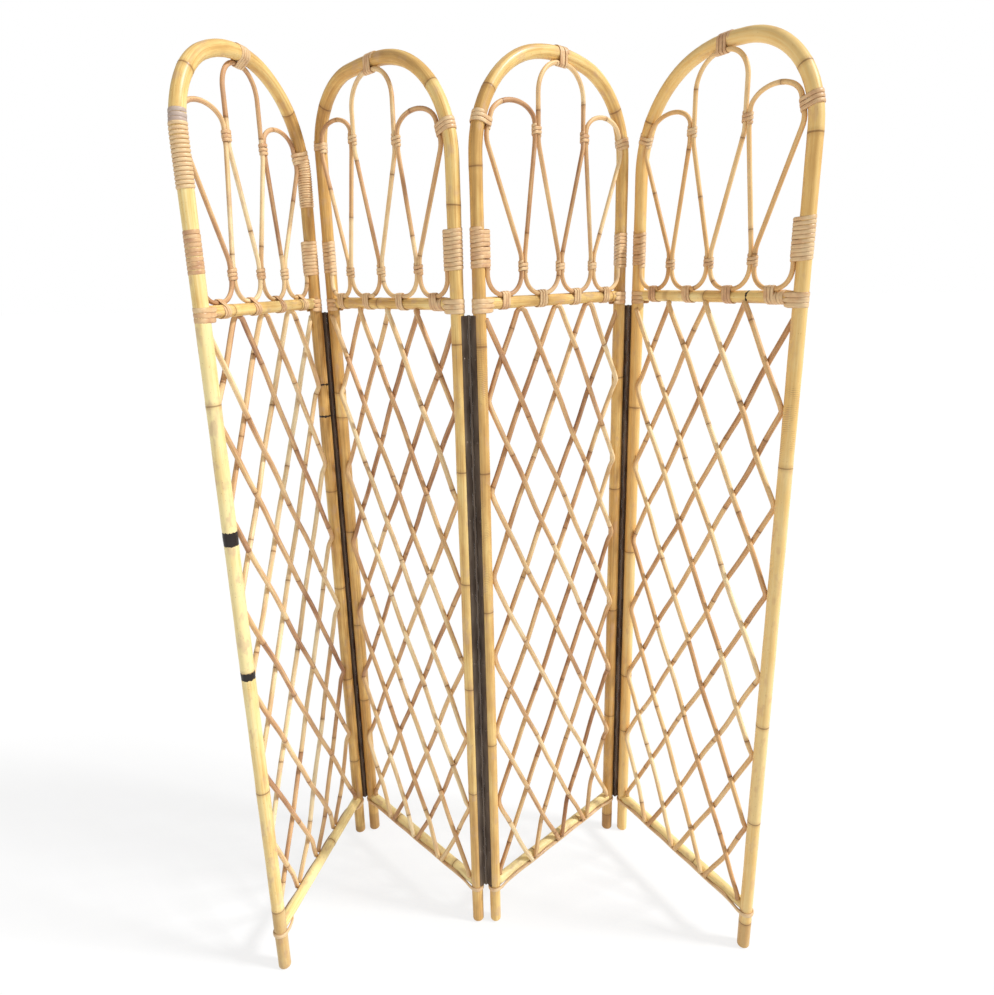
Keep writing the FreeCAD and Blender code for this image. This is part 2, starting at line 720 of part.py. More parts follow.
def arch_tie(apart):
    return belt_winding("arch tie", pole_r, loop_r, apart, TIE_TURNS, CANE_PITCH, CANE_WIDTH, BOW_GAP)


def side_tie(side):
    """Cane that binds the left loop to the arch."""
    arch, contact, up = side_contact(side)
    apart = math.hypot((contact - arch).Length, LOOP_FORWARD)
    towards = (contact + at(0, LOOP_FORWARD, 0) - arch).normalize()
    return place(arch_tie(apart), arch, towards, up)


def crown_tie(panel):
    """Cane that binds the middle loop to the top of the arch."""
    half = POLE_SPACING / 2
    crown_x = sum(upper_ties(panel)) / 2
    top = arch_top_radius(panel.sides[0 if crown_x < half else 1][0])
    height = math.sqrt(top**2 - (crown_x - half) ** 2)
    arch = Vector(crown_x, 0, apex_z - top + height)
    # The tie leans halfway between the arch and the level crown of the loop
    along = Vector(2 * height, 0, half - crown_x).normalize()
    across = at(crown_x, LOOP_FORWARD, crown_z) - arch
    across = across - along * across.dot(along)
    return place(arch_tie(across.Length), arch, across.normalize(), along)


def loop_ties(panel):
    """Cane ties between neighbouring loops, and between the loops and the arch."""
    up = Vector(0, 0, 1)
    along = Vector(1, 0, 0)
    apart = 2 * strand_half
    tie = belt_winding(
        "loop tie", loop_r, loop_r, apart, TIE_TURNS, NARROW_CANE_PITCH, NARROW_CANE_WIDTH, CANE_GAP
    )
    places = [(x, lower_tie_z) for x in lower_ties(panel)]
    places += [(x, upper_tie_z + lift) for x, (shoulder, lift) in zip(upper_ties(panel), panel.sides)]
    ties = [place(tie, at(x - strand_half, LOOP_FORWARD, z), along, up) for x, z in places]
    middle = Vector(POLE_SPACING / 2, 0, 0)
    ties.append(side_tie(panel.sides[0]))
    ties.append(side_tie(panel.sides[1]).mirror(middle, along))
    ties.append(crown_tie(panel))
    return group(ties)


def rail_ties(panel):
    """Cane that binds each dip of the looped rod to the mid rail."""
    apart = math.hypot(loop_over_rail, LOOP_FORWARD)
    tie = belt_winding("rail tie", rail_r, loop_r, apart, TIE_TURNS, CANE_PITCH, CANE_WIDTH, BOW_GAP)
    towards = at(0, LOOP_FORWARD, loop_over_rail).normalize()
    along = Vector(1, 0, 0)
    middles = [sum(span) / 2 for span in u_spans(panel)]
    return group([place(tie, Vector(x, 0, MID_RAIL_HEIGHT), towards, along) for x in middles])


def beside_rail(width, thickness, offset):
    """How far from the rail's middle plane an upright strip lies, at offset from the rail's axis."""
    nearest = max(abs(offset) - width / 2, 0)
    return math.sqrt(rail_r**2 - nearest**2) + CANE_GAP + thickness / 2


def joint_strap(offset):
    """Strap round the left pole, with both ends laid along the mid rail."""
    round_pole = pole_r + CANE_GAP + STRAP_THICKNESS / 2
    by_rail = beside_rail(STRAP_WIDTH, STRAP_THICKNESS, offset)
    z = MID_RAIL_HEIGHT + offset
    half = [(STRAP_REACH, by_rail), (BINDING_LEAD, round_pole), (-round_pole, round_pole)]
    points = [at(x, -y, z) for x, y in half] + [at(x, y, z) for x, y in half[::-1]]
    radii = [BINDING_BEND_RADIUS, round_pole, round_pole, BINDING_BEND_RADIUS]
    return strip(rounded_path(points, radii), STRAP_WIDTH, STRAP_THICKNESS)


def joint_straps():
    offsets = [STRAP_PITCH * (index - (STRAPS_PER_JOINT - 1) / 2) for index in range(STRAPS_PER_JOINT)]
    left = [joint_strap(offset) for offset in offsets]
    middle = Vector(POLE_SPACING / 2, 0, 0)
    return group(left + [strap.mirror(middle, Vector(1, 0, 0)) for strap in left])


def foot_binding():
    """Split cane along the face of the bottom rail, taken round both poles to the back of the rail."""
    round_pole = pole_r + CANE_GAP + FOOT_BINDING_THICKNESS / 2
    by_rail = beside_rail(FOOT_BINDING_WIDTH, FOOT_BINDING_THICKNESS, FOOT_BINDING_DROP)
    z = BOTTOM_RAIL_HEIGHT - FOOT_BINDING_DROP
    behind = [(FOOT_BINDING_REACH, by_rail), (BINDING_LEAD, round_pole), (-round_pole, round_pole)]
    left = [at(x, -y, z) for x, y in behind] + [at(x, y, z) for x, y in behind[::-1]]
    right = [mirrored(point) for point in left[::-1]]
    bend = BINDING_BEND_RADIUS
    radii = [bend, round_pole, round_pole, bend, bend]
    path = rounded_path(left + right, radii + radii[::-1])
    return strip(path, FOOT_BINDING_WIDTH, FOOT_BINDING_THICKNESS)


def hinge_leaf(pole, side, odd):
    """Leaf on the outside of a pole, with every other knuckle of the hinge."""
    pin = Vector(hinge_out, HINGE_PIN_FORWARD, 0)
    near = hinge_out - barrel_r
    edge = HINGE_PIN_FORWARD - barrel_r - KNUCKLE_GAP
    free = HINGE_PIN_FORWARD - HINGE_LEAF_WIDTH
    plate = Part.makeBox(HINGE_LEAF_THICKNESS, edge - free, hinge_length, Vector(near, free, hinge_bottom))
    step = hinge_length / HINGE_KNUCKLES
    length = step - KNUCKLE_GAP
    knuckle = Part.makeCylinder(barrel_r, length, pin)
    tab = Part.makeBox(HINGE_LEAF_THICKNESS, barrel_r + KNUCKLE_GAP, length, Vector(near, edge, 0))
    bore = Part.makeCylinder(HINGE_PIN_DIAMETER / 2 + PIN_GAP, length, pin)
    knuckle = knuckle.fuse(tab).cut(bore)
    knuckles = []
    for index in range(1 if odd else 0, HINGE_KNUCKLES, 2):
        knuckles.append(knuckle.translated(Vector(0, 0, hinge_bottom + index * step + KNUCKLE_GAP / 2)))
    holes = []
    for height in screw_heights():
        middle = Vector(0, HINGE_PIN_FORWARD - SCREW_FROM_PIN, height)
        holes.append(Part.makeCylinder(SCREW_DIAMETER / 2 + FIT, 2 * pole_r, middle, Vector(1, 0, 0)))
    leaf = plate.fuse(knuckles).cut(holes).removeSplitter()
    if side < 0:
        leaf = leaf.mirror(Vector(0, 0, 0), Vector(0, 1, 0))
    if pole == 0:
        leaf = leaf.mirror(Vector(0, 0, 0), Vector(1, 0, 0))
    return leaf.translate(Vector(POLE_SPACING * pole, 0, 0))


def hinge_pin():
    """Hinge pin about Z, with a flat head beyond the knuckles at each end."""
    radius = HINGE_PIN_DIAMETER / 2
    shaft = Part.makeCylinder(radius, hinge_length, Vector(0, 0, hinge_bottom))
    heads = []
    for z in (hinge_bottom - PIN_HEAD_THICKNESS, hinge_top):
        heads.append(Part.makeCylinder(barrel_r - KNUCKLE_GAP, PIN_HEAD_THICKNESS, Vector(0, 0, z)))
    return shaft.fuse(heads).removeSplitter()


def outward(pole):
    return 1 if pole else -1


def hinge_poles():
    """The pole of each panel at its left and right neighbour, as the row is seen from -Y."""
    return [(1, 0) if panel.turned else (0, 1) for panel in PANELS]


def panel_axes(panel):
    yaw = math.radians(panel.yaw + (180 if panel.turned else 0))
    return Vector(math.cos(yaw), math.sin(yaw), 0), Vector(-math.sin(yaw), math.cos(yaw), 0)


def pin_offset(panel, pole):
    """From a panel's left pole to the pin beside one of its poles, in the row's frame."""
    along, back = panel_axes(panel)
    x = POLE_SPACING * pole + outward(pole) * hinge_out
    y = panel.hinges[pole] * HINGE_PIN_FORWARD
    return along * x + back * y


def row_layout():
    """Left pole of each panel and the pins between panels, with the row centred on the origin."""
    bases = [Vector(0, 0, 0)]
    pins = []
    poles = hinge_poles()
    for index in range(len(PANELS) - 1):
        here, following = PANELS[index], PANELS[index + 1]
        pins.append(bases[index] + pin_offset(here, poles[index][1]))
        bases.append(pins[index] - pin_offset(following, poles[index + 1][0]))
    feet = bases + [base + panel_axes(panel)[0] * POLE_SPACING for base, panel in zip(bases, PANELS)]
    box = FreeCAD.BoundBox()
    for foot in feet:
        box.add(foot)
    shift = Vector(box.Center.x, box.Center.y, 0)
    return [base - shift for base in bases], [pin - shift for pin in pins]


def panel_nodes(panel):
    """Every piece of one panel but its hinge leaves, in the panel's own frame."""
    return {
        "hoop": hoop(panel),
        "mid_rail": rail(MID_RAIL_HEIGHT),
        "bottom_rail": rail(BOTTOM_RAIL_HEIGHT),
        "loop_rod": loop_rod(panel),
        "lattice_rods": lattice_rods(),
        "pole_wraps": pole_wraps(panel),
        "loop_ties": loop_ties(panel),
        "rail_ties": rail_ties(panel),
        "joint_straps": joint_straps(),
        "foot_binding": foot_binding(),
        "rail_nails": rail_nails(),
        "hinge_screws": hinge_screws(panel),
    }


def build():
    """All nodes in the row's frame, by name."""
    up = Vector(0, 0, 1)
    bases, pins = row_layout()
    poles = hinge_poles()
    nodes = {}
    for number, (panel, base) in enumerate(zip(PANELS, bases), 1):
        along = panel_axes(panel)[0]
        for name, shape in panel_nodes(panel).items():
            nodes[f"panel_{number}_{name}"] = place(group([shape]), base, along, up)
    for index, pin in enumerate(pins):
        for offset, name in enumerate(("left_leaf", "right_leaf")):
            panel = PANELS[index + offset]
            pole = poles[index + offset][1 - offset]
            leaf = group([hinge_leaf(pole, panel.hinges[pole], bool(offset))])
            along = panel_axes(panel)[0]
            nodes[f"hinge_{index + 1}_{name}"] = place(leaf, bases[index + offset], along, up)
        nodes[f"hinge_{index + 1}_pin"] = place(group([hinge_pin()]), pin, Vector(1, 0, 0), up)
        print(f"hinge {index + 1} pin at {pin.x:.3f}, {pin.y:.3f}")
    for number, base in enumerate(bases, 1):
        print(f"panel {number} left pole at {base.x:.3f}, {base.y:.3f}")
    return nodes


os.makedirs("parts", exist_ok=True)
for name, shape in build().items():
    shape.exportStep(f"parts/{name}.step")
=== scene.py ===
import json
import math
import random

import bpy
import numpy as np
from mathutils import Euler, Matrix, Vector


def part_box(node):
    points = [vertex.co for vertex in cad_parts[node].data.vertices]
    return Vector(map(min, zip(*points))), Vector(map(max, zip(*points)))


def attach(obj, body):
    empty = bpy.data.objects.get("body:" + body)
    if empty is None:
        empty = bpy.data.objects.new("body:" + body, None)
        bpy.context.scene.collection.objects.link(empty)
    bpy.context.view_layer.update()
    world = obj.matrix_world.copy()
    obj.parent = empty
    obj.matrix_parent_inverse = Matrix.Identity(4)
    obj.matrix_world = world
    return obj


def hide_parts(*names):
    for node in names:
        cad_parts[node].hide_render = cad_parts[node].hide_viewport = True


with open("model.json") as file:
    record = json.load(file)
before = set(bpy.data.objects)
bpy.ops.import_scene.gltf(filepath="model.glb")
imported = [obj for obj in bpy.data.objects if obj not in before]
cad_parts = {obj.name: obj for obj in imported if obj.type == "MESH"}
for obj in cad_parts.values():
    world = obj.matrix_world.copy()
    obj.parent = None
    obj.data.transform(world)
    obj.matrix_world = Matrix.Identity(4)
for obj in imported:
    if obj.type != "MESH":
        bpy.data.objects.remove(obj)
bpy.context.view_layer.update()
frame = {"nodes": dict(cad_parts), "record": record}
scene = bpy.context.scene

# Rattan folding screen: four arched panels in a row. Metres, +Z up, seen from -Y.
# Each panel is drawn in a frame of its own, in which X runs from its left pole to its right pole and
# its face looks along -Y. The panel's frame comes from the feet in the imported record.
mounts = {mount["name"]: Vector(mount["pos_m"]) for mount in frame["record"]["mounts"]}
spacing = (mounts["panel_1_right_foot"] - mounts["panel_1_left_foot"]).length
mid_rail_z = sum(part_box("panel_1_mid_rail"), Vector()).z / 2
bottom_rail_z = sum(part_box("panel_1_bottom_rail"), Vector()).z / 2

# Canes and rods
POLE_R = 0.012
RAIL_R = 0.011
LOOP_R = 0.0045
LOOP_LOOK_R = 0.0042
LATTICE_R = 0.005
FOOT_ROUNDING = 0.0045
SEAT_GAP = 0.00025
CANE_GAP = 0.00015
BOW_GAP = 0.0005
apex_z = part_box("panel_1_hoop")[1].z - POLE_R
arch_room = apex_z - mid_rail_z

# Looped rod in the arch
LOOP_FORWARD = 0.007
LOOP_TAIL = -0.004
LOOP_U_RADIUS = 0.038
LOOP_BEND_RADIUS = 0.040
LOOP_SIDE_RADIUS = 0.032
LOOP_CREST_RADIUS = 0.020
LOOP_CREST_POINTS = 14
LOOP_CROWN_RADIUS = 0.056
LOOP_LEAN = math.radians(26)
LOOP_LEAN_RISE = 0.017
LOOP_LEAN_RADIUS = 0.026
LOOP_U_FLAT = 0.014
ARCH_SLACK = 0.0012
BEND_STEPS = 12
lower_tie_z = mid_rail_z + 0.145 * arch_room
upper_tie_z = mid_rail_z + 0.689 * arch_room
side_loop_z = mid_rail_z + 0.786 * arch_room
loop_spread = 0.045 * arch_room
pole_wrap_z = mid_rail_z + 0.136 * arch_room
loop_reach = math.sqrt((POLE_R + LOOP_R + SEAT_GAP) ** 2 - LOOP_FORWARD**2)
loop_over_rail = math.sqrt((RAIL_R + LOOP_R + SEAT_GAP) ** 2 - LOOP_FORWARD**2)
strand_half = LOOP_R + CANE_GAP
loop_low_z = mid_rail_z + loop_over_rail
crown_z = apex_z - loop_reach - ARCH_SLACK

# Diamond lattice
COLUMNS = 4
ROWS = 7
BACK_LAYER = -0.001
FRONT_LAYER = BACK_LAYER + 2 * LATTICE_R + SEAT_GAP
LATTICE_BEND_RADIUS = 0.016
LATTICE_BEND_HALF = 0.009
HAIRPIN_HALF_WIDTH = 0.003
HAIRPIN_RADIUS = 0.0045
HAIRPIN_LIFT = 0.001
CORNER_DROP = 0.016
END_HALF_GAP = 0.0055
END_BEND_RADIUS = 0.060
END_RISE = 0.074
END_DROP = -0.003
FOOT_RISE = 0.011
lattice_left = POLE_R + LATTICE_R + SEAT_GAP
lattice_right = spacing - lattice_left
column_step = (lattice_right - lattice_left) / COLUMNS
lattice_top = mid_rail_z - RAIL_R
row_step = (lattice_top - bottom_rail_z - RAIL_R - FOOT_RISE) / ROWS
over_rail = RAIL_R + LATTICE_R + 3 * SEAT_GAP

# Split cane, where a wound strip has a pitch and a width
CANE_PITCH = 0.0069
CANE = (CANE_PITCH, 0.0068)
NARROW_CANE = (0.0064, 0.0062)
CANE_THICKNESS = 0.0015
WOUND_TILT = 0.12
POLE_WRAP_TURNS = 10
TIE_TURNS = 3
CROWN_TIE_TURNS = 4
STRAP_WIDTH = 0.0088
STRAP_OFFSETS = (-0.0124, -0.0040, 0.0045)
STRAP_THICKNESS = 0.0016
STRAP_REACH = 0.027
STRAP_TONE = 0.8
BINDING_WIDTH = 0.0095
BINDING_AT_HINGE = 0.0021
BINDING_AT_END = 0.0034
BINDING_AT_RAIL = 0.0058
BINDING_DROP = 0.0094
BINDING_TILT = math.radians(18)
BINDING_ROLL = 0.10
BINDING_TURN = 0.035
BINDING_TONE = 1.1
BINDING_POLE_R = 0.0129
BINDING_ROOM = 0.0138
BINDING_REACH = 0.036
BINDING_LEAD = 0.014
BINDING_BEND_RADIUS = 0.030
SPLICE_PITCHES = (0.0048, 0.0064)
SPLICE_THICKNESS = 0.0028
SPLICE_DROPS = (0.053, 0.078)
SPLICE_TUCK = 0.005
CORD_FILL = 0.95
CORD_POINTS = 24
SPLICE_TONES = (1.1, 0.8)
tie_half = (TIE_TURNS - 0.5) * CANE_PITCH / 2 + 0.0027

# Strip hinges, from the axis of the pole that a leaf is on
LEAF_SEAT = 0.0114
LEAF_THICKNESS = 0.0009
LEAF_FREE_EDGE = -0.002
PIN_OUT = 0.0139
PIN_FORWARD = 0.014
BARREL_R = 0.0025
BORE_R = 0.0021
PIN_R = 0.0020
PIN_HEAD = 0.0008
KNUCKLES = 49
KNUCKLE_GAP = 0.00005
hinge_low = bottom_rail_z - 0.004
hinge_high = mid_rail_z - 0.020

# Each leaf as panel, pole and the side that the pin is on, where the face of a panel is side -1
LEAVES = {
    "hinge_1_left_leaf": (0, 0, 1),
    "hinge_1_right_leaf": (1, 0, -1),
    "hinge_2_left_leaf": (1, 1, 1),
    "hinge_2_right_leaf": (2, 0, 1),
    "hinge_3_left_leaf": (2, 1, -1),
    "hinge_3_right_leaf": (3, 0, -1),
}
PIN_BODIES = {"hinge_1_pin": "panel_2", "hinge_2_pin": "panel_2", "hinge_3_pin": "panel_3"}

# Left and right side of each arch as (rise, radius of the bend) and the lift of the loop beside it,
# and shifts of the ties along the panel
SIDES = [
    [((0.182, 0.172), -0.010), ((0.161, 0.149), -0.006)],
    [((0.129, 0.127), 0.012), ((0.192, 0.190), -0.009)],
    [((0.186, 0.184), 0.0), ((0.163, 0.158), 0.0)],
    [((0.190, 0.188), 0.0), ((0.171, 0.169), 0.0)],
]
LOWER_SHIFTS = [[0.006, -0.006, -0.012], [-0.015, -0.010, 0.005], [0.004, 0.005, 0.0], [0.0, 0.0, 0.001]]
UPPER_SHIFTS = [[0.008, -0.008], [-0.010, -0.008], [0.008, 0.006], [0.009, 0.003]]
HAIRPIN_SHIFTS = [[-0.006, 0.004, 0.0], [0.0, 0.0, 0.0], [-0.010, 0.0, 0.002], [-0.011, -0.003, -0.003]]
SPLICED_PANEL = 0
RAIL_KNOTS = {3: ([(0.292, 0.296)], [], [(0.080, 0.092)])}
GREY_TIE = (0, 1)
LONG_RAIL_TIES = {1: 2, 3: 3}

# What each hoop shows: its radius at the left and the right foot, its tone at even distances from one
# foot to the other, partly the cane's own tone and partly painted light, paler where light falls strongly
# and darker where it is in shade, how orange the panel's canes are, and by height on the left and the
# right pole its growth rings and any stretches that are scorched, ticked by fine cross marks or browned
HOOPS = [
    {
        "radii": (0.0128, 0.0130),
        # Painted light and shade: the right pole is paler, as if sunlit, and the left pole and the arch
        # darker, as if in shade
        "tones": (0.4, 0.3, 0.25, 1.4, 1.1),
        "warmth": 0.0,
        "rings": [(0.22, 0.455, 0.70, 0.94, 1.185), (0.15, 0.44, 0.705, 0.97, 1.208)],
        "scorched": [(1, 0.690, 0.705), (1, 0.957, 0.983), (0, 1.1835, 1.1865), (0, 1.113, 1.117)],
        "ticked": [(0, 0.30, 0.42), (1, 0.672, 0.690)],
        "browned": [(0, 0.0, 0.02), (1, 0.0, 0.15)],
    },
    {
        "radii": (0.0128, 0.0121),
        "tones": (0.5, 0.65),
        "warmth": 0.1,
        "rings": [(0.39, 0.597, 0.838, 1.11, 1.165), (0.342, 0.593, 0.825, 1.053, 1.29, 1.525)],
        "ticked": [(0, 0.45, 0.58)],
        "browned": [(0, 0.0, 0.05)],
    },
    {
        "radii": (0.0117, 0.0124),
        "tones": (0.6, 0.2),
        "warmth": 0.1,
        "rings": [(0.46, 0.765, 1.05, 1.285, 1.585), (0.045, 0.34, 0.63, 0.933, 1.187)],
        "ticked": [(0, 1.18, 1.30), (0, 0.80, 1.00), (1, 0.10, 0.25)],
        "browned": [(1, 0.0, 0.047)],
    },
    {
        "radii": (0.0123, 0.0128),
        # Painted light and shade: the left side and arch are darker, as if in shade, and the right side
        # paler, as if lit
        "tones": (0.8, 0.75, 0.8, 1.3, 1.4),
        "warmth": 0.42,
        "rings": [(0.30, 0.455, 0.78, 1.12), (0.065, 0.32, 0.545, 1.068, 1.61)],
        "ticked": [(1, 1.08, 1.22)],
        "browned": [(1, 0.0, 0.066)],
    },
]

# Growth of the canes: lengths of the swelling and the groove at a ring, waves of the girth as (radians
# per metre, share), oval section, slant of the rings, and how far the tone strays between rings
SWELL_LENGTH = 0.006
GROOVE_LENGTH = 0.0011
GROOVE_SHARE = 0.6
GIRTH_WAVES = ((21, 0.012), (57, 0.008))
OVAL = 0.012
SLANT = 0.10
SLANT_LENGTH = 0.012
STRETCH_TONE = 0.35
RING_REACH = 0.05
MARK_EDGE = 0.006
NO_MARKS = ([], [], [])
RAIL_RING_GAP = 0.21
LOOP_RING_GAP = 0.24
LATTICE_RING_GAP = 0.22
LATTICE_SWAY = 0.0014
LATTICE_WAVE = 0.30
SWAY_ENDS = 0.06
# Painted light on the lattice rods: those that run down to the right paler, as if lit, and those that run
# up to the right darker, as if shaded
LATTICE_PAINTED_LIGHT = 0.3
MID_RAIL_TONE = 0.85
BOTTOM_RAIL_TONE = 1.6
LOOP_TONES = (0.5, 0.7)
LATTICE_TONES = (0.4, 0.9)
RAIL_END = 0.6 * POLE_R

# Canes as sides of the mesh, distance between its rings of points, and swelling at growth rings
POLE = (30, 0.008, 0.03)
ROD = (14, 0.007, 0.06)
ARC_STEP = math.radians(5)
SAME_POINT = 1e-7
RING_STATIONS = np.array([-0.008, -0.004, -0.002, -0.0008, 0.0, 0.0008, 0.002, 0.004, 0.008])
FORWARD = np.array([0.0, -1.0, 0.0])
UP = np.array([0.0, 0.0, 1.0])
ALONG = np.array([1.0, 0.0, 0.0])


def unit(vectors):
    return vectors / np.linalg.norm(vectors, axis=-1, keepdims=True)


def headings(points):
    return unit(np.gradient(points, axis=0))


def distances(points):
    """How far along a line each of its points lies."""
    return np.concatenate([[0.0], np.cumsum(np.linalg.norm(np.diff(points, axis=0), axis=1))])


def at(x, forward, z):
    """A point of a panel: along its width, forward of its middle plane, and up."""
    return np.array([x, -forward, z], float)


def mirrored(points):
    return np.asarray(points) * [-1, 1, 1] + [spacing, 0, 0]


def arc(centre, towards, tangent, radius, start, end):
    """Points on an arc whose middle lies towards, from one angle to another along tangent."""
    count = max(3, math.ceil(abs(end - start) / ARC_STEP) + 1)
    angles = np.linspace(start, end, count)[:, None]
    return centre + radius * (towards * np.cos(angles) + tangent * np.sin(angles))


def rounded(points, radii):
    """Close points along straight runs whose inner corners are rounded, less where a run is short."""
    points = np.array(points, float)
    runs = np.linalg.norm(np.diff(points, axis=0), axis=1)
    back, ahead = unit(points[:-2] - points[1:-1]), unit(points[2:] - points[1:-1])
    halves = np.arccos(np.clip(np.sum(back * ahead, axis=1), -1, 1)) / 2
    cuts = np.concatenate([[0.0], radii / np.tan(halves), [0.0]])
    shares = np.minimum(1.0, runs / np.maximum(cuts[:-1] + cuts[1:], 1e-9))
    radii = radii * np.minimum(shares[:-1], shares[1:])
    inward, onward = unit(back + ahead), unit(ahead - back)
    centres = points[1:-1] + inward * (radii / np.sin(halves))[:, None]
    line = [points[:1]]
    for index, swing in enumerate(math.pi / 2 - halves):
        line.append(arc(centres[index], -inward[index], onward[index], radii[index], -swing, swing))
    return np.vstack(line + [points[-1:]])


class Line:
    """A bent centre-line that can be read at any distance from its start."""

    def __init__(self, points):
        apart = np.diff(distances(points), prepend=-1) > SAME_POINT
        self.points = np.asarray(points)[apart]
        self.travel = distances(self.points)
        self.length = self.travel[-1]

    def read(self, stations):
        return np.stack([np.interp(stations, self.travel, axis) for axis in self.points.T], axis=1)

    def swayed(self, rng):
        """The same line with the gentle in-plane waves of a natural rod, none at its ends."""
        stations = np.linspace(0, self.length, round(self.length / 0.01))
        points = self.read(stations)
        across = np.cross(headings(points), FORWARD)
        sway = np.zeros(len(stations))
        for part in (1.0, 0.6):
            turn = 2 * math.pi / (LATTICE_WAVE * part * rng.uniform(0.8, 1.25))
            sway += part * np.sin(stations * turn + rng.uniform(0, 2 * math.pi))
        ends = np.clip(np.minimum(stations, self.length - stations) / SWAY_ENDS, 0, 1)
        return Line(points + across * (LATTICE_SWAY * sway * ends)[:, None])


class Skin:
    """Vertices, faces and surface marks of one piece, gathered strand by strand.

    grain is a place on the straightened strand: two axes across it and one along it.
    marks are, for a cane, the distance to a growth ring, the tone of the stretch, partly painted light and
    shade, and how scorched it is, and for a strip the distance from its edge, which sets its painted shade,
    its tone and how grey it is.
    wear is how far a cane is ticked by cross marks, browned and orange."""

    def __init__(self):
        self.count = 0
        self.points, self.faces = [], []
        self.traits = {}

    def add(self, rings, **traits):
        """Rings of points along a strand, closed with a flat face at each end.

        A trait has three values, each the same all over, or given by ring or by place on a ring."""
        number, sides = rings.shape[:2]
        index = self.count + np.arange(number * sides).reshape(number, sides)
        ahead = np.roll(index, -1, axis=1)
        quads = np.stack([index[:-1], ahead[:-1], ahead[1:], index[1:]], axis=-1).reshape(-1, 4)
        self.faces += quads.tolist()
        self.faces += [index[0, ::-1].tolist(), index[-1].tolist()]
        self.count += number * sides
        self.points.append(rings.reshape(-1, 3))
        for key, values in traits.items():
            values = [np.broadcast_to(value, (number, sides)) for value in values]
            self.traits.setdefault(key, []).append(np.stack(values, axis=-1).reshape(-1, 3))


def growth_rings(length, gap, rng):
    """Uneven places of the growth rings along a cane."""
    places = []
    place = gap * rng.uniform(0.3, 1.0)
    while place < length - 0.02:
        places.append(place)
        place += gap * rng.uniform(0.7, 1.3)
    return places


def within(stations, stretches):
    """How far each station lies inside any of the stretches, from 0 to 1."""
    inside = np.zeros(len(stations))
    for start, end in stretches:
        depth = np.minimum(stations - start, end - stations)
        inside = np.maximum(inside, np.clip(0.5 + depth / MARK_EDGE, 0, 1))
    return inside


def tube(skin, line, radii, kind, rings, rng, tones, rounding=0, bands=NO_MARKS, warmth=0, lean=0):
    """A round cane along a line, thicker and grooved at its growth rings.

    radii are those at both ends and tones those at even distances. lean paints light and shade: stretches
    that run down to the right are paler, as if lit, and those that run up to the right darker, as if
    shaded. bands are the stretches that are scorched, ticked and browned."""
    sides, step, swell = kind
    rings = np.array(sorted(rings))
    base = np.linspace(0, line.length, round(line.length / step) + 1)
    near = (rings[:, None] + RING_STATIONS).ravel()
    ends = rounding * (1 - np.cos(np.linspace(0, math.pi / 2, 6)))
    edges = [place + shift for stretch in sum(bands, []) for place in stretch for shift in (-0.002, 0.002)]
    stations = np.unique(np.round(np.concatenate([base, near, ends, line.length - ends, edges]), 5))
    stations = stations[(stations >= 0) & (stations < line.length - 1e-5)]
    stations = np.append(stations, line.length)
    points = line.read(stations)
    fine = np.linspace(0, line.length, 4 * len(base))
    slopes = np.gradient(line.read(fine), axis=0)
    tangents = unit(np.stack([np.interp(stations, fine, axis) for axis in slopes.T], axis=1))
    normals = unit(FORWARD - tangents * (tangents @ FORWARD)[:, None])
    sideways = np.cross(tangents, normals)

    share = stations / line.length
    nearest = np.abs(stations[:, None] - rings).argmin(axis=1)
    gap = np.abs(stations - rings[nearest])
    lengths = (SWELL_LENGTH, GROOVE_LENGTH, SLANT_LENGTH)
    swollen, grooved, slanted = [np.exp(-((gap / length) ** 2)) for length in lengths]
    girth = radii[0] + (radii[1] - radii[0]) * share
    girth = girth * (1 + swell * swollen - GROOVE_SHARE * swell * grooved)
    for wave, size in GIRTH_WAVES:
        girth *= 1 + size * np.sin(stations * wave + rng.uniform(0, 6))
    if rounding:
        inset = np.clip(1 - np.minimum(stations, line.length - stations) / rounding, 0, 1)
        girth -= rounding * (1 - np.sqrt(1 - inset**2))
    angles = np.linspace(0, 2 * math.pi, sides, endpoint=False)
    oval = 1 + OVAL * np.cos(2 * angles + rng.uniform(0, 6))
    spokes = np.cos(angles)[:, None] * normals[:, None] + np.sin(angles)[:, None] * sideways[:, None]
    shape = points[:, None] + spokes * (girth[:, None] * oval)[..., None]
    # The growth rings are not quite square to the cane
    slants = np.array([(rng.uniform(0, SLANT), rng.uniform(0, 6)) for ring in rings])[nearest]
    shift = slants[:, :1] * girth[:, None] * np.cos(angles + slants[:, 1:]) * slanted[:, None]
    shape += shift[..., None] * tangents[:, None]

    offset = rng.uniform(0, 50)
    grain = (radii[0] * np.cos(angles), radii[0] * np.sin(angles) + offset, stations[:, None] + offset)
    stretch = np.array([rng.uniform(-STRETCH_TONE, STRETCH_TONE) for ring in range(len(rings) + 1)])
    tone = np.interp(share, np.linspace(0, 1, len(tones)), tones)
    tone += stretch[np.searchsorted(rings, stations)]
    # Painted light: with lean, stretches that run down to the right are paler, as if lit, and those that
    # run up to the right darker, as if shaded
    tone -= lean * tangents[:, 0] * np.sign(tangents[:, 2])
    scorched, ticked, browned = [within(stations, stretches)[:, None] for stretches in bands]
    marks = (np.minimum(gap, RING_REACH)[:, None], tone[:, None], scorched)
    skin.add(shape, grain=grain, marks=marks, wear=(ticked, browned, warmth))


STRIP_TONE = 0.7
STRIP_TUCK = 0.012
TONE_STRAY = 0.3
TAPERED_WIDTH = 0.55
SUNK_SHARE = 0.9
STRIP_RIPPLE = 0.05
STRIP_WAVE = 90
STRIP_HALF = [(0.5, 0), (0.5, 0.3), (0.45, 0.62), (0.33, 0.86), (0.15, 0.98)]
STRIP_ACROSS, STRIP_RISE = np.array([(-x, z) for x, z in STRIP_HALF] + STRIP_HALF[::-1]).T


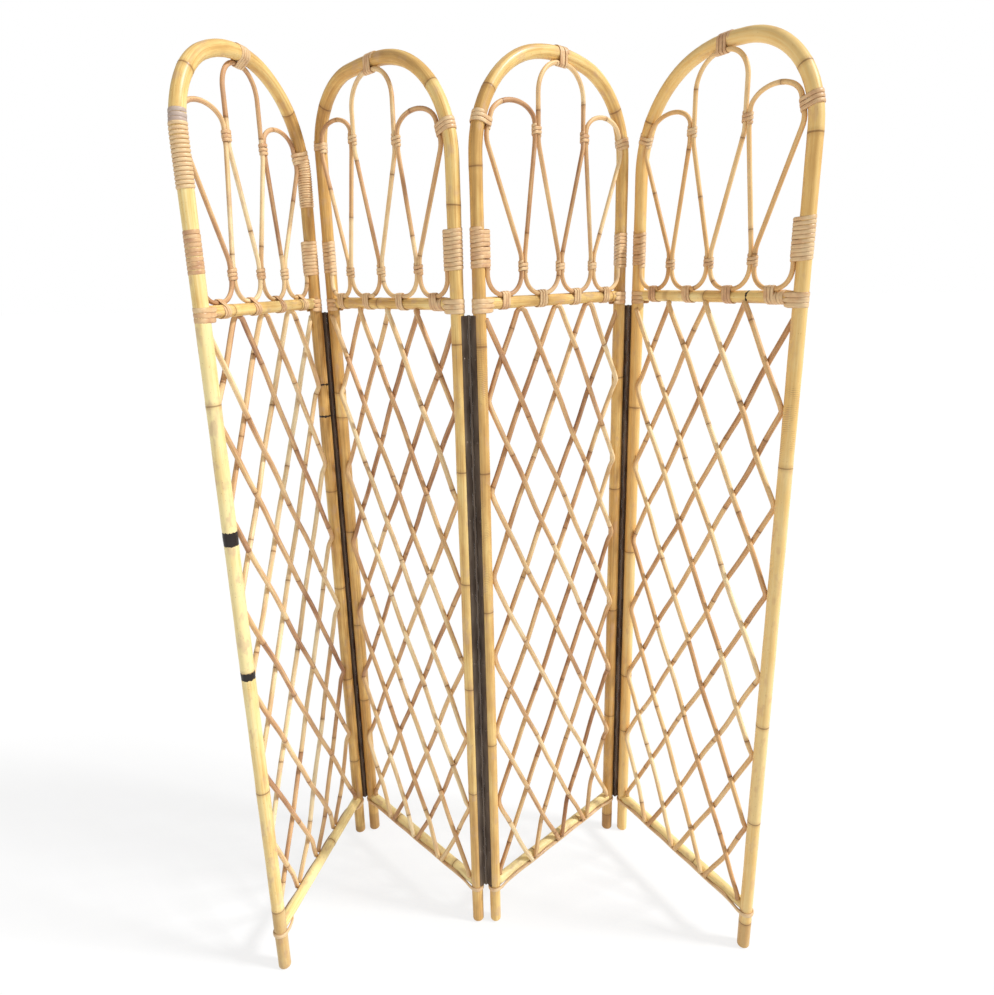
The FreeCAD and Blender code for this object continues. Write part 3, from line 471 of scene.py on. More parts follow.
def ribbon(skin, points, outward, across, width, thickness, rng, tone=STRIP_TONE, grey=0.0):
    """A domed strip laid along points on its flat side, whose ends taper and tuck in."""
    travel = distances(points)
    thickness = np.broadcast_to(thickness, travel.shape)
    across = np.broadcast_to(across, points.shape)
    ends = np.clip(np.minimum(travel, travel[-1] - travel) / STRIP_TUCK, 0, 1) ** 0.5
    ripple = 1 + STRIP_RIPPLE * np.sin(travel * STRIP_WAVE + rng.uniform(0, 6))
    wide = width * (TAPERED_WIDTH + (1 - TAPERED_WIDTH) * ends) * ripple
    sunk = thickness * SUNK_SHARE * (ends - 1)
    sideways = STRIP_ACROSS * wide[:, None]
    rise = STRIP_RISE * thickness[:, None] + sunk[:, None]
    shape = points[:, None] + sideways[..., None] * across[:, None] + rise[..., None] * outward[:, None]
    offset = rng.uniform(0, 50)
    grain = (STRIP_ACROSS * width, offset, travel[:, None] + offset)
    # The first mark, the nearness to the strip's middle, sets the painted shade along its edges
    marks = (1 - 2 * np.abs(STRIP_ACROSS), tone + rng.uniform(-TONE_STRAY, TONE_STRAY), grey)
    skin.add(shape, grain=grain, marks=marks)


# Points of a turn on the further and on the nearer of two bars, or on a single bar
PAIR_POINTS = (14, 22)
SINGLE_POINTS = (0, 30)


def winding(skin, origin, towards, along, bars, turns, rng, gap=CANE_GAP, strip=CANE, grey=0.0):
    """A strip wound round one bar, or two that lie side by side, as a belt that climbs along the bars."""
    radius_a, radius_b, apart = bars
    pitch, width = strip
    lean = math.acos((radius_a - radius_b) / apart) if apart else 0
    far, near = PAIR_POINTS if apart else SINGLE_POINTS
    arcs = np.linspace(-lean, lean, far), np.linspace(lean, 2 * math.pi - lean, near, endpoint=far > 0)
    angles = np.concatenate(arcs)[:, None]
    on_far = np.arange(far + near)[:, None] < far
    spokes = np.cos(angles) * towards + np.sin(angles) * np.cross(along, towards)
    outline = spokes * (np.where(on_far, radius_b, radius_a) + gap) + np.where(on_far, apart, 0) * towards
    tilt = [rng.uniform(-WOUND_TILT, WOUND_TILT) * pitch for turn in range(turns + 1)]
    turned = np.arange(turns * len(angles)) / len(angles)
    climb = (turned - turns / 2) * pitch + np.interp(turned, range(turns + 1), tilt)
    points = origin + np.tile(outline, (turns, 1)) + climb[:, None] * along
    ribbon(skin, points, np.tile(spokes, (turns, 1)), along, width, CANE_THICKNESS, rng, grey=grey)


def cord(skin, line, low, high, pitch, tone, rng):
    """Round cord wound close on a pole, from one distance along its line to another."""
    turns = np.linspace(0, (high - low) / pitch, round((high - low) / pitch * CORD_POINTS))
    stations = low + turns * pitch
    axis = line.read(stations)
    along = headings(axis)
    sideways = np.cross(along, FORWARD)
    angles = (turns * 2 * math.pi)[:, None]
    spokes = np.cos(angles) * FORWARD + np.sin(angles) * sideways
    ribbon(skin, axis + spokes * POLE_R, spokes, along, CORD_FILL * pitch, SPLICE_THICKNESS, rng, tone)


def level_line(line):
    """Points along a level line that runs counter-clockwise round what it binds, and the way out."""
    points = line.read(np.linspace(0, line.length, round(line.length / 0.004)))
    return points, np.cross(headings(points), UP)


def arch_top_radius(shoulder):
    """Radius of the arc over the top of an arch, level at the apex, that meets the side arc."""
    rise, radius = shoulder
    return ((spacing / 2 - radius) ** 2 + rise**2 - radius**2) / (2 * (rise - radius))


def half_arch(shoulder):
    """From the left foot up the pole and round to the apex."""
    rise, radius = shoulder
    top = arch_top_radius(shoulder)
    side_centre = at(radius, 0, apex_z - rise)
    top_centre = at(spacing / 2, 0, apex_z - top)
    outward = unit(side_centre - top_centre) * (1 if top > radius else -1)
    swing = math.atan2(outward[2], -outward[0])
    side = arc(side_centre, -ALONG, UP, radius, 0, swing)
    over = arc(top_centre, -ALONG, UP, top, swing, math.pi / 2)
    return np.vstack([[at(0, 0, 0)], side, over[1:]])


def side_contact(side):
    """Where the left loop touches the arch: the arch's axis, the rod's axis and their direction."""
    (rise, radius), lift = side
    rod_radius = radius - loop_reach - ARCH_SLACK
    tie_z = upper_tie_z + lift
    centre = at(radius, 0, min(apex_z - rise, tie_z))
    swing = math.asin((tie_z - centre[2]) / rod_radius)
    outward = at(-math.cos(swing), 0, math.sin(swing))
    return centre + outward * radius, centre + outward * rod_radius, at(math.sin(swing), 0, math.cos(swing))


def turn_radius(span, largest):
    """Radius of the two bends at the ends of a level stretch, which leave room between them for a tie."""
    return min(largest, (span[1] - span[0] - LOOP_U_FLAT) / 2)


def crest(start, rising, end, falling, top):
    """A bow that leaves start along rising, just reaches the height top and meets end along falling."""
    share = np.linspace(0, 1, LOOP_CREST_POINTS)[:, None]
    low, high = 0.0, spacing
    for step in range(24):
        handle = (low + high) / 2
        bow = start * (1 - share) ** 3 + 3 * (start + rising * handle) * share * (1 - share) ** 2
        bow += 3 * (end - falling * handle) * share**2 * (1 - share) + end * share**3
        if bow[:, 2].max() < top:
            low = handle
        else:
            high = handle
    return bow


class Panel:
    """Centre-lines of one panel, in its own frame."""

    def __init__(self, index):
        self.index = index
        self.sides = SIDES[index]
        self.warmth = HOOPS[index]["warmth"]
        self.hinged = [pole for owner, pole, side in LEAVES.values() if owner == index]
        self.lower = [spacing * place / 4 + shift for place, shift in enumerate(LOWER_SHIFTS[index], 1)]
        self.upper = [spacing * place / 3 + shift for place, shift in enumerate(UPPER_SHIFTS[index], 1)]
        ends = [loop_reach]
        for tie in self.lower:
            ends += [tie - strand_half, tie + strand_half]
        ends.append(spacing - loop_reach)
        self.dips = list(zip(ends[0::2], ends[1::2]))
        left, right = [half_arch(shoulder) for shoulder, lift in self.sides]
        self.hoop = Line(np.vstack([left, mirrored(right)[-2::-1]]))

    def side_loop(self, lower, upper, side):
        """Corners and radii of the loop beside the left pole, from its lower tie round to its upper tie."""
        lift = side[1]
        first = at(lower - strand_half, 0, lower_tie_z + loop_spread)
        contact, up = side_contact(side)[1:]
        reach = tie_half
        for step in range(BEND_STEPS):
            turn = math.acos(np.clip(unit(contact - up * reach - first) @ up, -1, 1))
            reach = tie_half + LOOP_SIDE_RADIUS * math.tan(turn / 2)
        lean = at(upper - strand_half, 0, upper_tie_z + lift + LOOP_LEAN_RISE)
        falling = at(math.sin(LOOP_LEAN), 0, -math.cos(LOOP_LEAN))
        bow = crest(contact + up * tie_half, up, lean, falling, side_loop_z + lift)
        high = at(lean[0], 0, upper_tie_z + lift - loop_spread)
        points = [first, contact - up * reach, *bow[1:], high]
        radii = [LOOP_BEND_RADIUS, LOOP_SIDE_RADIUS] + [LOOP_CREST_RADIUS] * (len(bow) - 2)
        radii += [LOOP_LEAN_RADIUS, LOOP_BEND_RADIUS]
        return [(point[0], point[2], radius) for point, radius in zip(points, radii)]

    def loop_line(self):
        """One rod that dips to the mid rail four times and rises in three loops between the dips."""
        lower, upper = self.lower, self.upper
        half, bend = strand_half, LOOP_BEND_RADIUS
        dips = [[(x, loop_low_z, turn_radius(span, LOOP_U_RADIUS)) for x in span] for span in self.dips]
        crown = (upper[0] + half, upper[1] - half)
        crown_radius = turn_radius(crown, LOOP_CROWN_RADIUS)
        low = lower_tie_z + loop_spread
        high = [upper_tie_z + lift - loop_spread for shoulder, lift in self.sides]
        right = self.side_loop(spacing - lower[2], spacing - upper[1], self.sides[1])
        tail = pole_wrap_z + POLE_WRAP_TURNS * CANE_PITCH + LOOP_TAIL

        corners = dips[0] + self.side_loop(lower[0], upper[0], self.sides[0])
        corners += [(lower[0] + half, low, bend), *dips[1]]
        corners += [(lower[1] - half, low, bend), (crown[0], high[0], bend)]
        corners += [(x, crown_z, crown_radius) for x in crown]
        corners += [(crown[1], high[1], bend), (lower[1] + half, low, bend)]
        corners += [*dips[2], (lower[2] - half, low, bend)]
        corners += [(spacing - x, z, radius) for x, z, radius in right[::-1]] + dips[3]
        points = [at(loop_reach, LOOP_FORWARD, tail)]
        points += [at(x, LOOP_FORWARD, z) for x, z, radius in corners]
        points.append(at(spacing - loop_reach, LOOP_FORWARD, tail))
        return Line(rounded(points, [radius for x, z, radius in corners]))


def layer(heading):
    """Lattice rods that run down to the right lie in front."""
    return FRONT_LAYER if heading > 0 else BACK_LAYER


def lattice_arm(column, heading):
    """Corners and radii of one lattice rod from the mid rail downwards, turning back at each pole."""
    points, radii = [], []
    row = 0
    while True:
        steps = COLUMNS - column if heading > 0 else column
        wall = lattice_right if heading > 0 else lattice_left
        if row + steps > ROWS:
            break
        row += steps
        column += steps * heading
        level = lattice_top - row * row_step
        if row == ROWS:
            points += [at(wall, layer(heading), level)]
            points += [at(wall, layer(heading), bottom_rail_z + RAIL_R + SEAT_GAP)]
            return points, radii + [LATTICE_BEND_RADIUS]
        points.append(at(wall, layer(heading), level + LATTICE_BEND_HALF))
        heading = -heading
        points.append(at(wall, layer(heading), level - LATTICE_BEND_HALF))
        radii += [LATTICE_BEND_RADIUS, LATTICE_BEND_RADIUS]
    column += heading * (ROWS - row)
    last = points[-1]
    end_x = lattice_left + column * column_step - heading * END_HALF_GAP
    end_z = bottom_rail_z - END_DROP
    share = (last[2] - end_z - END_RISE) / (last[2] - end_z)
    slope = (over_rail - layer(heading)) / (END_RISE - END_DROP)
    points.append(at(last[0] + (end_x - last[0]) * share, layer(heading), end_z + END_RISE))
    points.append(at(end_x, layer(heading) + slope * END_RISE, end_z))
    return points, radii + [END_BEND_RADIUS]


def hairpin_line(column, shift):
    """Rod bent double under the mid rail, with one arm running down to each side."""
    middle = lattice_left + column * column_step + shift
    left, left_radii = lattice_arm(column, -1)
    right, right_radii = lattice_arm(column, 1)
    crown = [at(middle - HAIRPIN_HALF_WIDTH, BACK_LAYER, lattice_top + HAIRPIN_LIFT)]
    crown += [at(middle + HAIRPIN_HALF_WIDTH, FRONT_LAYER, lattice_top + HAIRPIN_LIFT)]
    radii = left_radii[::-1] + [HAIRPIN_RADIUS, HAIRPIN_RADIUS] + right_radii
    return Line(rounded(left[::-1] + crown + right, radii))


def corner_line(heading):
    """Rod that starts at a pole, in a top corner of the lattice."""
    pole_x = POLE_R / 2 if heading > 0 else spacing - POLE_R / 2
    points, radii = lattice_arm(0 if heading > 0 else COLUMNS, heading)
    return Line(rounded([at(pole_x, layer(heading), lattice_top - CORNER_DROP)] + points, radii))


def flatten(points, pole, limit, low, high):
    """Presses in the points between two heights that stand out further than limit beside a pole's axis."""
    out = 1 if pole else -1
    proud = ((points[:, 0] - spacing * pole) * out > limit) & (points[:, 2] > low) & (points[:, 2] < high)
    points[proud, 0] = spacing * pole + out * limit


def hoop(skin, panel, rng):
    """Cane hoop with the growth marks of its poles, planed where the hinge leaves lie."""
    line = panel.hoop
    look = HOOPS[panel.index]

    def station(pole, height):
        return line.length - height if pole else height

    rings = [station(pole, height) for pole in (0, 1) for height in look["rings"][pole]]
    rings += [line.length * rng.uniform(0.44, 0.47), line.length * rng.uniform(0.53, 0.56)]
    bands = []
    for kind in ("scorched", "ticked", "browned"):
        stretches = look.get(kind, [])
        bands.append([sorted((station(pole, low), station(pole, high))) for pole, low, high in stretches])
    # The hoop's tones paint light and shade on it as well as giving the cane's own tone
    tube(skin, line, look["radii"], POLE, rings, rng, look["tones"], FOOT_ROUNDING, bands, panel.warmth)
    for pole in panel.hinged:
        flatten(skin.points[0], pole, LEAF_SEAT, hinge_low, hinge_high)


def rail(skin, height, tone, rng, bands=NO_MARKS):
    """Straight cane whose ends reach just into the poles."""
    line = Line([at(RAIL_END, 0, height), at(spacing - RAIL_END, 0, height)])
    rings = growth_rings(line.length, RAIL_RING_GAP, rng)
    tube(skin, line, (RAIL_R, RAIL_R), POLE, rings, rng, (tone, tone), bands=bands)


def mid_rail(skin, panel, rng):
    rail(skin, mid_rail_z, MID_RAIL_TONE, rng, RAIL_KNOTS.get(panel.index, NO_MARKS))


def bottom_rail(skin, panel, rng):
    rail(skin, bottom_rail_z, BOTTOM_RAIL_TONE, rng)


def loop_rod(skin, panel, rng):
    line = panel.loop_line()
    rings = growth_rings(line.length, LOOP_RING_GAP, rng)
    tube(skin, line, (LOOP_LOOK_R, LOOP_LOOK_R), ROD, rings, rng, LOOP_TONES, warmth=panel.warmth)


def lattice_rods(skin, panel, rng):
    lines = [hairpin_line(column, shift) for column, shift in enumerate(HAIRPIN_SHIFTS[panel.index], 1)]
    for line in lines + [corner_line(1), corner_line(-1)]:
        line = line.swayed(rng)
        rings = growth_rings(line.length, LATTICE_RING_GAP, rng)
        tones = (rng.uniform(*LATTICE_TONES), rng.uniform(*LATTICE_TONES))
        # lean paints light and shade on each rod by the way it runs
        look = {"lean": LATTICE_PAINTED_LIGHT, "warmth": panel.warmth / 2}
        tube(skin, line, (LATTICE_R, LATTICE_R), ROD, rings, rng, tones, **look)


def pole_wraps(skin, panel, rng):
    bars = (POLE_R, LOOP_R, math.hypot(loop_reach, LOOP_FORWARD))
    height = pole_wrap_z + POLE_WRAP_TURNS * CANE_PITCH / 2
    for pole, side in enumerate(panel.sides):
        towards = unit(at(loop_reach * (1 - 2 * pole), LOOP_FORWARD, 0))
        middle = at(spacing * pole, 0, height)
        winding(skin, middle, towards, UP, bars, POLE_WRAP_TURNS, rng)
        if panel.index == SPLICED_PANEL:
            (rise, radius), lift = side
            spring = apex_z - rise
            bent = radius * math.asin((side_contact(side)[0][2] - spring) / radius)
            stretch = [spring - SPLICE_DROPS[pole], spring + bent - tie_half + SPLICE_TUCK]
            if pole:
                stretch = [panel.hoop.length - end for end in stretch[::-1]]
            cord(skin, panel.hoop, *stretch, SPLICE_PITCHES[pole], SPLICE_TONES[pole], rng)


def arch_tie(skin, arch, rod, along, turns, rng, grey=0.0):
    across = rod - arch
    across = across - along * (across @ along)
    bars = (POLE_R, LOOP_R, np.linalg.norm(across))
    winding(skin, arch, unit(across), along, bars, turns, rng, BOW_GAP, grey=grey)


def loop_ties(skin, panel, rng):
    """Ties between neighbouring loops, and between the loops and the arch."""
    bars = (LOOP_R, LOOP_R, 2 * strand_half)
    places = [(x, lower_tie_z) for x in panel.lower]
    places += [(x, upper_tie_z + lift) for x, (shoulder, lift) in zip(panel.upper, panel.sides)]
    for x, z in places:
        origin = at(x - strand_half, LOOP_FORWARD, z)
        winding(skin, origin, ALONG, UP, bars, TIE_TURNS, rng, strip=NARROW_CANE)
    forward = at(0, LOOP_FORWARD, 0)
    for pole, side in enumerate(panel.sides):
        arch, contact, up = side_contact(side)
        if pole:
            arch, contact, up = mirrored(arch), mirrored(contact), up * [-1, 1, 1]
        grey = float((panel.index, pole) == GREY_TIE)
        arch_tie(skin, arch, contact + forward, up, TIE_TURNS, rng, grey)
    crown_x = sum(panel.upper) / 2
    top = arch_top_radius(panel.sides[0 if crown_x < spacing / 2 else 1][0])
    height = math.sqrt(top**2 - (crown_x - spacing / 2) ** 2)
    along = unit(at(2 * height, 0, spacing / 2 - crown_x))
    arch = at(crown_x, 0, apex_z - top + height)
    arch_tie(skin, arch, at(crown_x, LOOP_FORWARD, crown_z), along, CROWN_TIE_TURNS, rng)


def rail_ties(skin, panel, rng):
    """Ties between the dips of the looped rod and the mid rail, some of them carried on along the rail."""
    towards = unit(at(0, LOOP_FORWARD, loop_over_rail))
    bars = (RAIL_R, LOOP_R, math.hypot(loop_over_rail, LOOP_FORWARD))
    for start, end in panel.dips:
        middle = at((start + end) / 2, 0, mid_rail_z)
        winding(skin, middle, towards, ALONG, bars, TIE_TURNS, rng, BOW_GAP)
    extra = LONG_RAIL_TIES.get(panel.index)
    if extra:
        middle = middle + ALONG * (TIE_TURNS + extra) * CANE_PITCH / 2
        winding(skin, middle, towards, ALONG, (RAIL_R, 0, 0), extra, rng)


def beside_rail(width, offset):
    """How far from the rail's middle plane an upright strip's inside lies, at offset from its axis."""
    nearest = max(abs(offset) - width / 2, 0)
    return math.sqrt(RAIL_R**2 - nearest**2) + CANE_GAP


def round_left_pole(reach, by_rail, round_pole, z):
    """Corners of a level strip that goes round the left pole, from the rail's back to its front."""
    half = [(reach, by_rail), (BINDING_LEAD, round_pole), (-round_pole, round_pole)]
    return [at(x, -y, z) for x, y in half] + [at(x, y, z) for x, y in half[::-1]]


def joint_straps(skin, panel, rng):
    round_pole = POLE_R + CANE_GAP
    for offset in STRAP_OFFSETS:
        by_rail = beside_rail(STRAP_WIDTH, offset)
        points = round_left_pole(STRAP_REACH, by_rail, round_pole, mid_rail_z + offset)
        path = rounded(points, [BINDING_BEND_RADIUS, round_pole, round_pole, BINDING_BEND_RADIUS])
        for line in (Line(path), Line(mirrored(path)[::-1])):
            points, outward = level_line(line)
            ribbon(skin, points, outward, UP, STRAP_WIDTH, STRAP_THICKNESS, rng, STRAP_TONE)


def foot_binding(skin, panel, rng):
    """Cane along the lower front of the bottom rail and round both poles, flattened at the hinges."""
    round_pole = BINDING_POLE_R
    by_rail = beside_rail(BINDING_WIDTH, BINDING_DROP)
    left = round_left_pole(BINDING_REACH, by_rail, round_pole, bottom_rail_z - BINDING_DROP)
    right = [mirrored(point) for point in left[::-1]]
    bend = BINDING_BEND_RADIUS
    radii = [bend, round_pole, round_pole, bend, bend]
    points, outward = level_line(Line(rounded(left + right, radii + radii[::-1])))

    from_pole = np.minimum(points[:, 0], spacing - points[:, 0])
    share = np.clip((from_pole - POLE_R) / BINDING_TURN, 0, 1)[:, None]
    tilt = BINDING_TILT + BINDING_ROLL * np.sin(points[:, :1] * 2 * math.pi / column_step)
    front = np.sign(points[:, 1:2])
    away = np.hstack([0 * tilt, front * np.cos(tilt), -np.sin(tilt)])
    upward = np.hstack([0 * tilt, front * np.sin(tilt), np.cos(tilt)])
    hugging = away * (RAIL_R + CANE_GAP)
    hugging[:, 0] = points[:, 0]
    hugging[:, 2] += bottom_rail_z
    points = points + (hugging - points) * share
    outward = unit(outward + (away - outward) * share)
    across = unit(UP + (upward - UP) * share)
    at_poles = [BINDING_AT_HINGE if pole in panel.hinged else BINDING_AT_END for pole in (0, 1)]
    thickness = np.where(points[:, 0] < spacing / 2, *at_poles)
    thickness += (BINDING_AT_RAIL - thickness) * share[:, 0]
    ribbon(skin, points, outward, across, BINDING_WIDTH, thickness, rng, BINDING_TONE)
    for pole in panel.hinged:
        flatten(skin.points[0], pole, BINDING_ROOM, 0, mid_rail_z)


def bar(skin, x, y, z):
    """A square bar between two values along each axis."""
    (left, right), (front, back) = sorted(x), sorted(y)
    corners = [(left, front), (right, front), (right, back), (left, back)]
    skin.add(np.array([[(a, b, level) for a, b in corners] for level in z]))


def circle(count, closed=False):
    turns = np.linspace(0, 2 * math.pi, count, endpoint=closed)[:, None]
    return np.hstack([np.cos(turns), np.sin(turns), 0 * turns])


def hinge_leaf(pole, side, odd):
    """Leaf on the outside of a pole, with every other knuckle of the hinge."""
    skin = Skin()
    out = 1 if pole else -1
    plate = [spacing * pole + out * x for x in (LEAF_SEAT, LEAF_SEAT + LEAF_THICKNESS)]
    off_plate = PIN_OUT - LEAF_SEAT - LEAF_THICKNESS
    edge = PIN_FORWARD - math.sqrt((BARREL_R + KNUCKLE_GAP) ** 2 - off_plate**2)
    bar(skin, plate, (side * LEAF_FREE_EDGE, side * edge), (hinge_low, hinge_high))
    step = (hinge_high - hinge_low) / KNUCKLES
    pin = np.array([spacing * pole + out * PIN_OUT, side * PIN_FORWARD, 0])
    for number in range(1 if odd else 0, KNUCKLES, 2):
        low = hinge_low + number * step + KNUCKLE_GAP
        high = low + step - 2 * KNUCKLE_GAP
        bar(skin, plate, (side * edge, side * PIN_FORWARD), (low, high))
        section = [(BORE_R, low), (BARREL_R, low), (BARREL_R, high), (BORE_R, high)]
        skin.add(np.stack([pin + radius * circle(21, True) + UP * z for radius, z in section], axis=1))
    return skin


def hinge_pin(middle):
    """Pin that fills its knuckles, with a flat head beyond them at each end."""
    skin = Skin()
    profile = [(BARREL_R, hinge_low - PIN_HEAD), (BARREL_R, hinge_low), (PIN_R, hinge_low)]
    profile += [(PIN_R, hinge_high), (BARREL_R, hinge_high), (BARREL_R, hinge_high + PIN_HEAD)]
    skin.add(np.array([[middle[0], middle[1], z] + circle(16) * radius for radius, z in profile]))
    return skin


def colour(*levels):
    """Linear colour of a picture colour given from 0 to 255, which is nowhere near black."""
    return (*[((level / 255 + 0.055) / 1.055) ** 2.4 for level in levels], 1.0)


class Finish:
    """The nodes of a material or of the world, with short calls for making them."""

    def __init__(self, name, library=bpy.data.materials):
        self.owner = library.new(name)
        self.owner.use_nodes = True
        self.tree = self.owner.node_tree
        self.shader = self.tree.nodes.get("Principled BSDF")

    def node(self, kind, inputs, **settings):
        node = self.tree.nodes.new("ShaderNode" + kind)
        for key, value in settings.items():
            setattr(node, key, value)
        for key, value in inputs.items():
            self.feed(node.inputs[key], value)
        return node

    def feed(self, socket, value):
        if isinstance(value, bpy.types.NodeSocket):
            self.tree.links.new(value, socket)
        else:
            socket.default_value = value

    def attribute(self, name):
        return self.node("Attribute", {}, attribute_name=name).outputs["Vector"]

    def split(self, name):
        return self.node("SeparateXYZ", {"Vector": self.attribute(name)}).outputs

    def noise(self, vector, along, scale, detail):
        """Noise that is drawn out along the third axis where along is below 1."""
        node = self.node("VectorMath", {0: vector, 1: (1, 1, along)}, operation="MULTIPLY")
        inputs = {"Vector": node.outputs["Vector"], "Scale": scale, "Detail": detail, "Roughness": 0.55}
        return self.node("TexNoise", inputs).outputs["Fac"]

    def compute(self, operation, *values):
        node = self.node("Math", dict(enumerate(values)), operation=operation)
        return node.outputs["Value"]

    def product(self, *values):
        return self.compute("MULTIPLY", *values)

    def strayed(self, value, size, base):
        """The base plus how far a value from 0 to 1 is off its middle, times size."""
        return self.compute("MULTIPLY_ADD", self.compute("SUBTRACT", value, 0.5), size, base)

    def between(self, value, low, high, start=0.0, end=1.0):
        """The value's place from low to high, smoothed, as a number from start to end."""
        inputs = {"Value": value, "From Min": low, "From Max": high, "To Min": start, "To Max": end}
        return self.node("MapRange", inputs, interpolation_type="SMOOTHSTEP").outputs["Result"]

    def ramp(self, value, stops):
        """Starts the body colour."""
        node = self.node("ValToRGB", {"Fac": value})
        elements = node.color_ramp.elements
        while len(elements) < len(stops):
            elements.new(0.5)
        for element, (place, tint) in zip(elements, stops):
            element.position = place
            element.color = colour(*tint)
        self.body = node.outputs["Color"]

    def mix(self, share, tint):
        """Lays a tint over the body colour."""
        inputs = {"Factor": share, 6: self.body, 7: colour(*tint)}
        self.body = self.node("Mix", inputs, data_type="RGBA").outputs[2]

    def stain(self, tint, *place):
        """Lays a tint over the body colour, by the place of a value as between gives it."""
        self.mix(self.between(*place), tint)

    def bump(self, height, strength, distance):
        node = self.node("Bump", {"Height": height, "Strength": strength, "Distance": distance})
        self.feed(self.shader.inputs["Normal"], node.outputs["Normal"])

    def set(self, **values):
        for key, value in values.items():
            self.feed(self.shader.inputs[key.replace("_", " ")], value)


def rattan(name, stops, ring_tint, gloss, contrast):
    """Peeled or lacquered cane: long fibres, mottling, tone by stretch that also carries painted light and
    shade, and the marks of its growth.
    """
    finish = Finish(name)
    grain = finish.attribute("grain")
    along = finish.split("grain")[2]
    ring, tone, scorch = finish.split("marks")
    tick, brown, warmth = finish.split("wear")
    fibre = finish.noise(grain, 0.03, 900, 3)
    streak = finish.noise(grain, 0.018, 260, 2)
    mottle = finish.noise(grain, 0.35, 34, 3)
    patch = finish.noise(grain, 0.5, 60, 2)
    speck = finish.noise(grain, 0.5, 420, 1)

    shade = finish.compute("MULTIPLY_ADD", streak, 0.5, finish.product(mottle, 0.5))
    # Painted light and shade come in through tone, along with the cane's own tone
    shade = finish.strayed(tone, contrast, shade)
    shade = finish.strayed(fibre, 0.2, shade)
    finish.ramp(shade, stops)
    finish.stain((206, 170, 138), patch, 0.54, 0.72, 0.0, 0.5)
    finish.stain(ring_tint, speck, 0.68, 0.76, 0.0, 0.4)
    finish.mix(warmth, (238, 186, 108))
    finish.mix(finish.product(brown, 0.45), (164, 118, 72))
    wander = finish.strayed(mottle, 0.002, ring)
    finish.stain(ring_tint, ring, 0.001, 0.010, 0.3, 0.0)
    finish.stain((132, 88, 48), wander, 0.0004, 0.0022, 0.7, 0.0)
    wave = finish.compute("MULTIPLY_ADD", along, 1900.0, finish.product(mottle, 30.0))
    cross = finish.between(finish.compute("SINE", wave), 0.55, 0.95, 0.0, 0.55)
    cross = finish.product(cross, finish.between(patch, 0.42, 0.56))
    finish.mix(finish.product(cross, tick), (140, 100, 64))
    ragged = finish.noise(grain, 0.25, 330, 3)
    burnt = finish.between(finish.compute("MULTIPLY_ADD", ragged, 1.4, scorch), 1.12, 1.26)
    finish.mix(burnt, (34, 24, 20))
    finish.set(Base_Color=finish.body, Roughness=finish.between(streak, 0.3, 0.7, gloss, gloss + 0.2))
    finish.set(Specular_IOR_Level=0.45)
    height = finish.compute("MULTIPLY_ADD", fibre, 0.4, finish.product(streak, 0.6))
    finish.bump(height, 0.35, 0.0006)
    return finish.owner


def split_cane():
    """Shiny outer skin of cane, pinkish tan, with painted shade along its edges where a turn meets the
    next.
    """
    finish = Finish("split_cane")
    grain = finish.attribute("grain")
    edge, tone, grey = finish.split("marks")
    fibre = finish.noise(grain, 0.03, 1400, 2)
    patch = finish.noise(grain, 1, 60, 2)
    shade = finish.strayed(tone, 0.5, patch)
    finish.ramp(shade, CANE_TINTS)
    finish.stain((186, 136, 100), fibre, 0.45, 0.75, 0.0, 0.4)
    # Painted shade: the strip is darker along its edges, where it meets the next turn or what it lies on
    finish.stain((158, 108, 70), edge, 0.02, 0.35, 0.5, 0.0)
    finish.mix(finish.product(grey, 0.7), (176, 164, 164))
    finish.set(Base_Color=finish.body, Roughness=finish.between(patch, 0.3, 0.7, 0.34, 0.52))
    finish.bump(fibre, 0.3, 0.0003)
    return finish.owner


def aged_steel(name, tint, worn_tint):
    """Old strip steel: dark patina with worn and rusty places."""
    finish = Finish(name)
    place = finish.node("TexCoord", {}).outputs["Object"]
    cloud = finish.noise(place, 0.25, 60, 4)
    grit = finish.noise(place, 1, 900, 2)
    finish.ramp(cloud, [(0.3, tint), (0.75, worn_tint)])
    finish.stain((120, 92, 72), grit, 0.55, 0.75, 0.0, 0.35)
    finish.set(Base_Color=finish.body, Metallic=0.5, Roughness=finish.between(cloud, 0.3, 0.7, 0.36, 0.55))
    finish.bump(grit, 0.25, 0.0004)
    return finish.owner


def placed(name, data):
    """A new object in the scene."""
    thing = bpy.data.objects.new(name, data)
    scene.collection.objects.link(thing)
    return thing


def make_piece(name, skin, body, node, slot, matrix):
    """A mesh piece in the row's frame that rides on a panel and stands for one of its solids."""
    mesh = bpy.data.meshes.new(name)
    mesh.from_pydata(np.vstack(skin.points), [], skin.faces)
    mesh.transform(matrix)
    for key, values in skin.traits.items():
        trait = mesh.attributes.new(key, "FLOAT_VECTOR", "POINT")
        trait.data.foreach_set("vector", np.vstack(values).astype(np.float32).ravel())
    if skin.traits:
        mesh.shade_smooth()
    mesh.materials.append(looks[slot])
    piece = placed(name, mesh)
    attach(piece, body)
    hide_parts(node)


def panel_matrix(body):
    """Turns and moves a panel from its own frame to its place in the row."""
    left, right = mounts[f"{body}_left_foot"], mounts[f"{body}_right_foot"]
    turn = math.atan2(right.y - left.y, right.x - left.x)
    matrix = Euler((0, 0, turn)).to_matrix().to_4x4()
    matrix.translation = left
    return matrix


# The builders of a panel's parts by finish, each named as its part is
PARTS = {
    "rattan_pole": (hoop, mid_rail, bottom_rail),
    "rattan_rod": (loop_rod, lattice_rods),
    "split_cane": (pole_wraps, loop_ties, rail_ties, joint_straps, foot_binding),
}


def dress_panel(index):
    body = f"panel_{index + 1}"
    panel = Panel(index)
    rng = random.Random(11 + index)
    for slot, builders in PARTS.items():
        for build in builders:
            skin = Skin()
            build(skin, panel, rng)
            part = build.__name__
            name, node = f"rattan_{part}_{index + 1}", f"{body}_{part}"
            make_piece(name, skin, body, node, slot, panel_matrix(body))


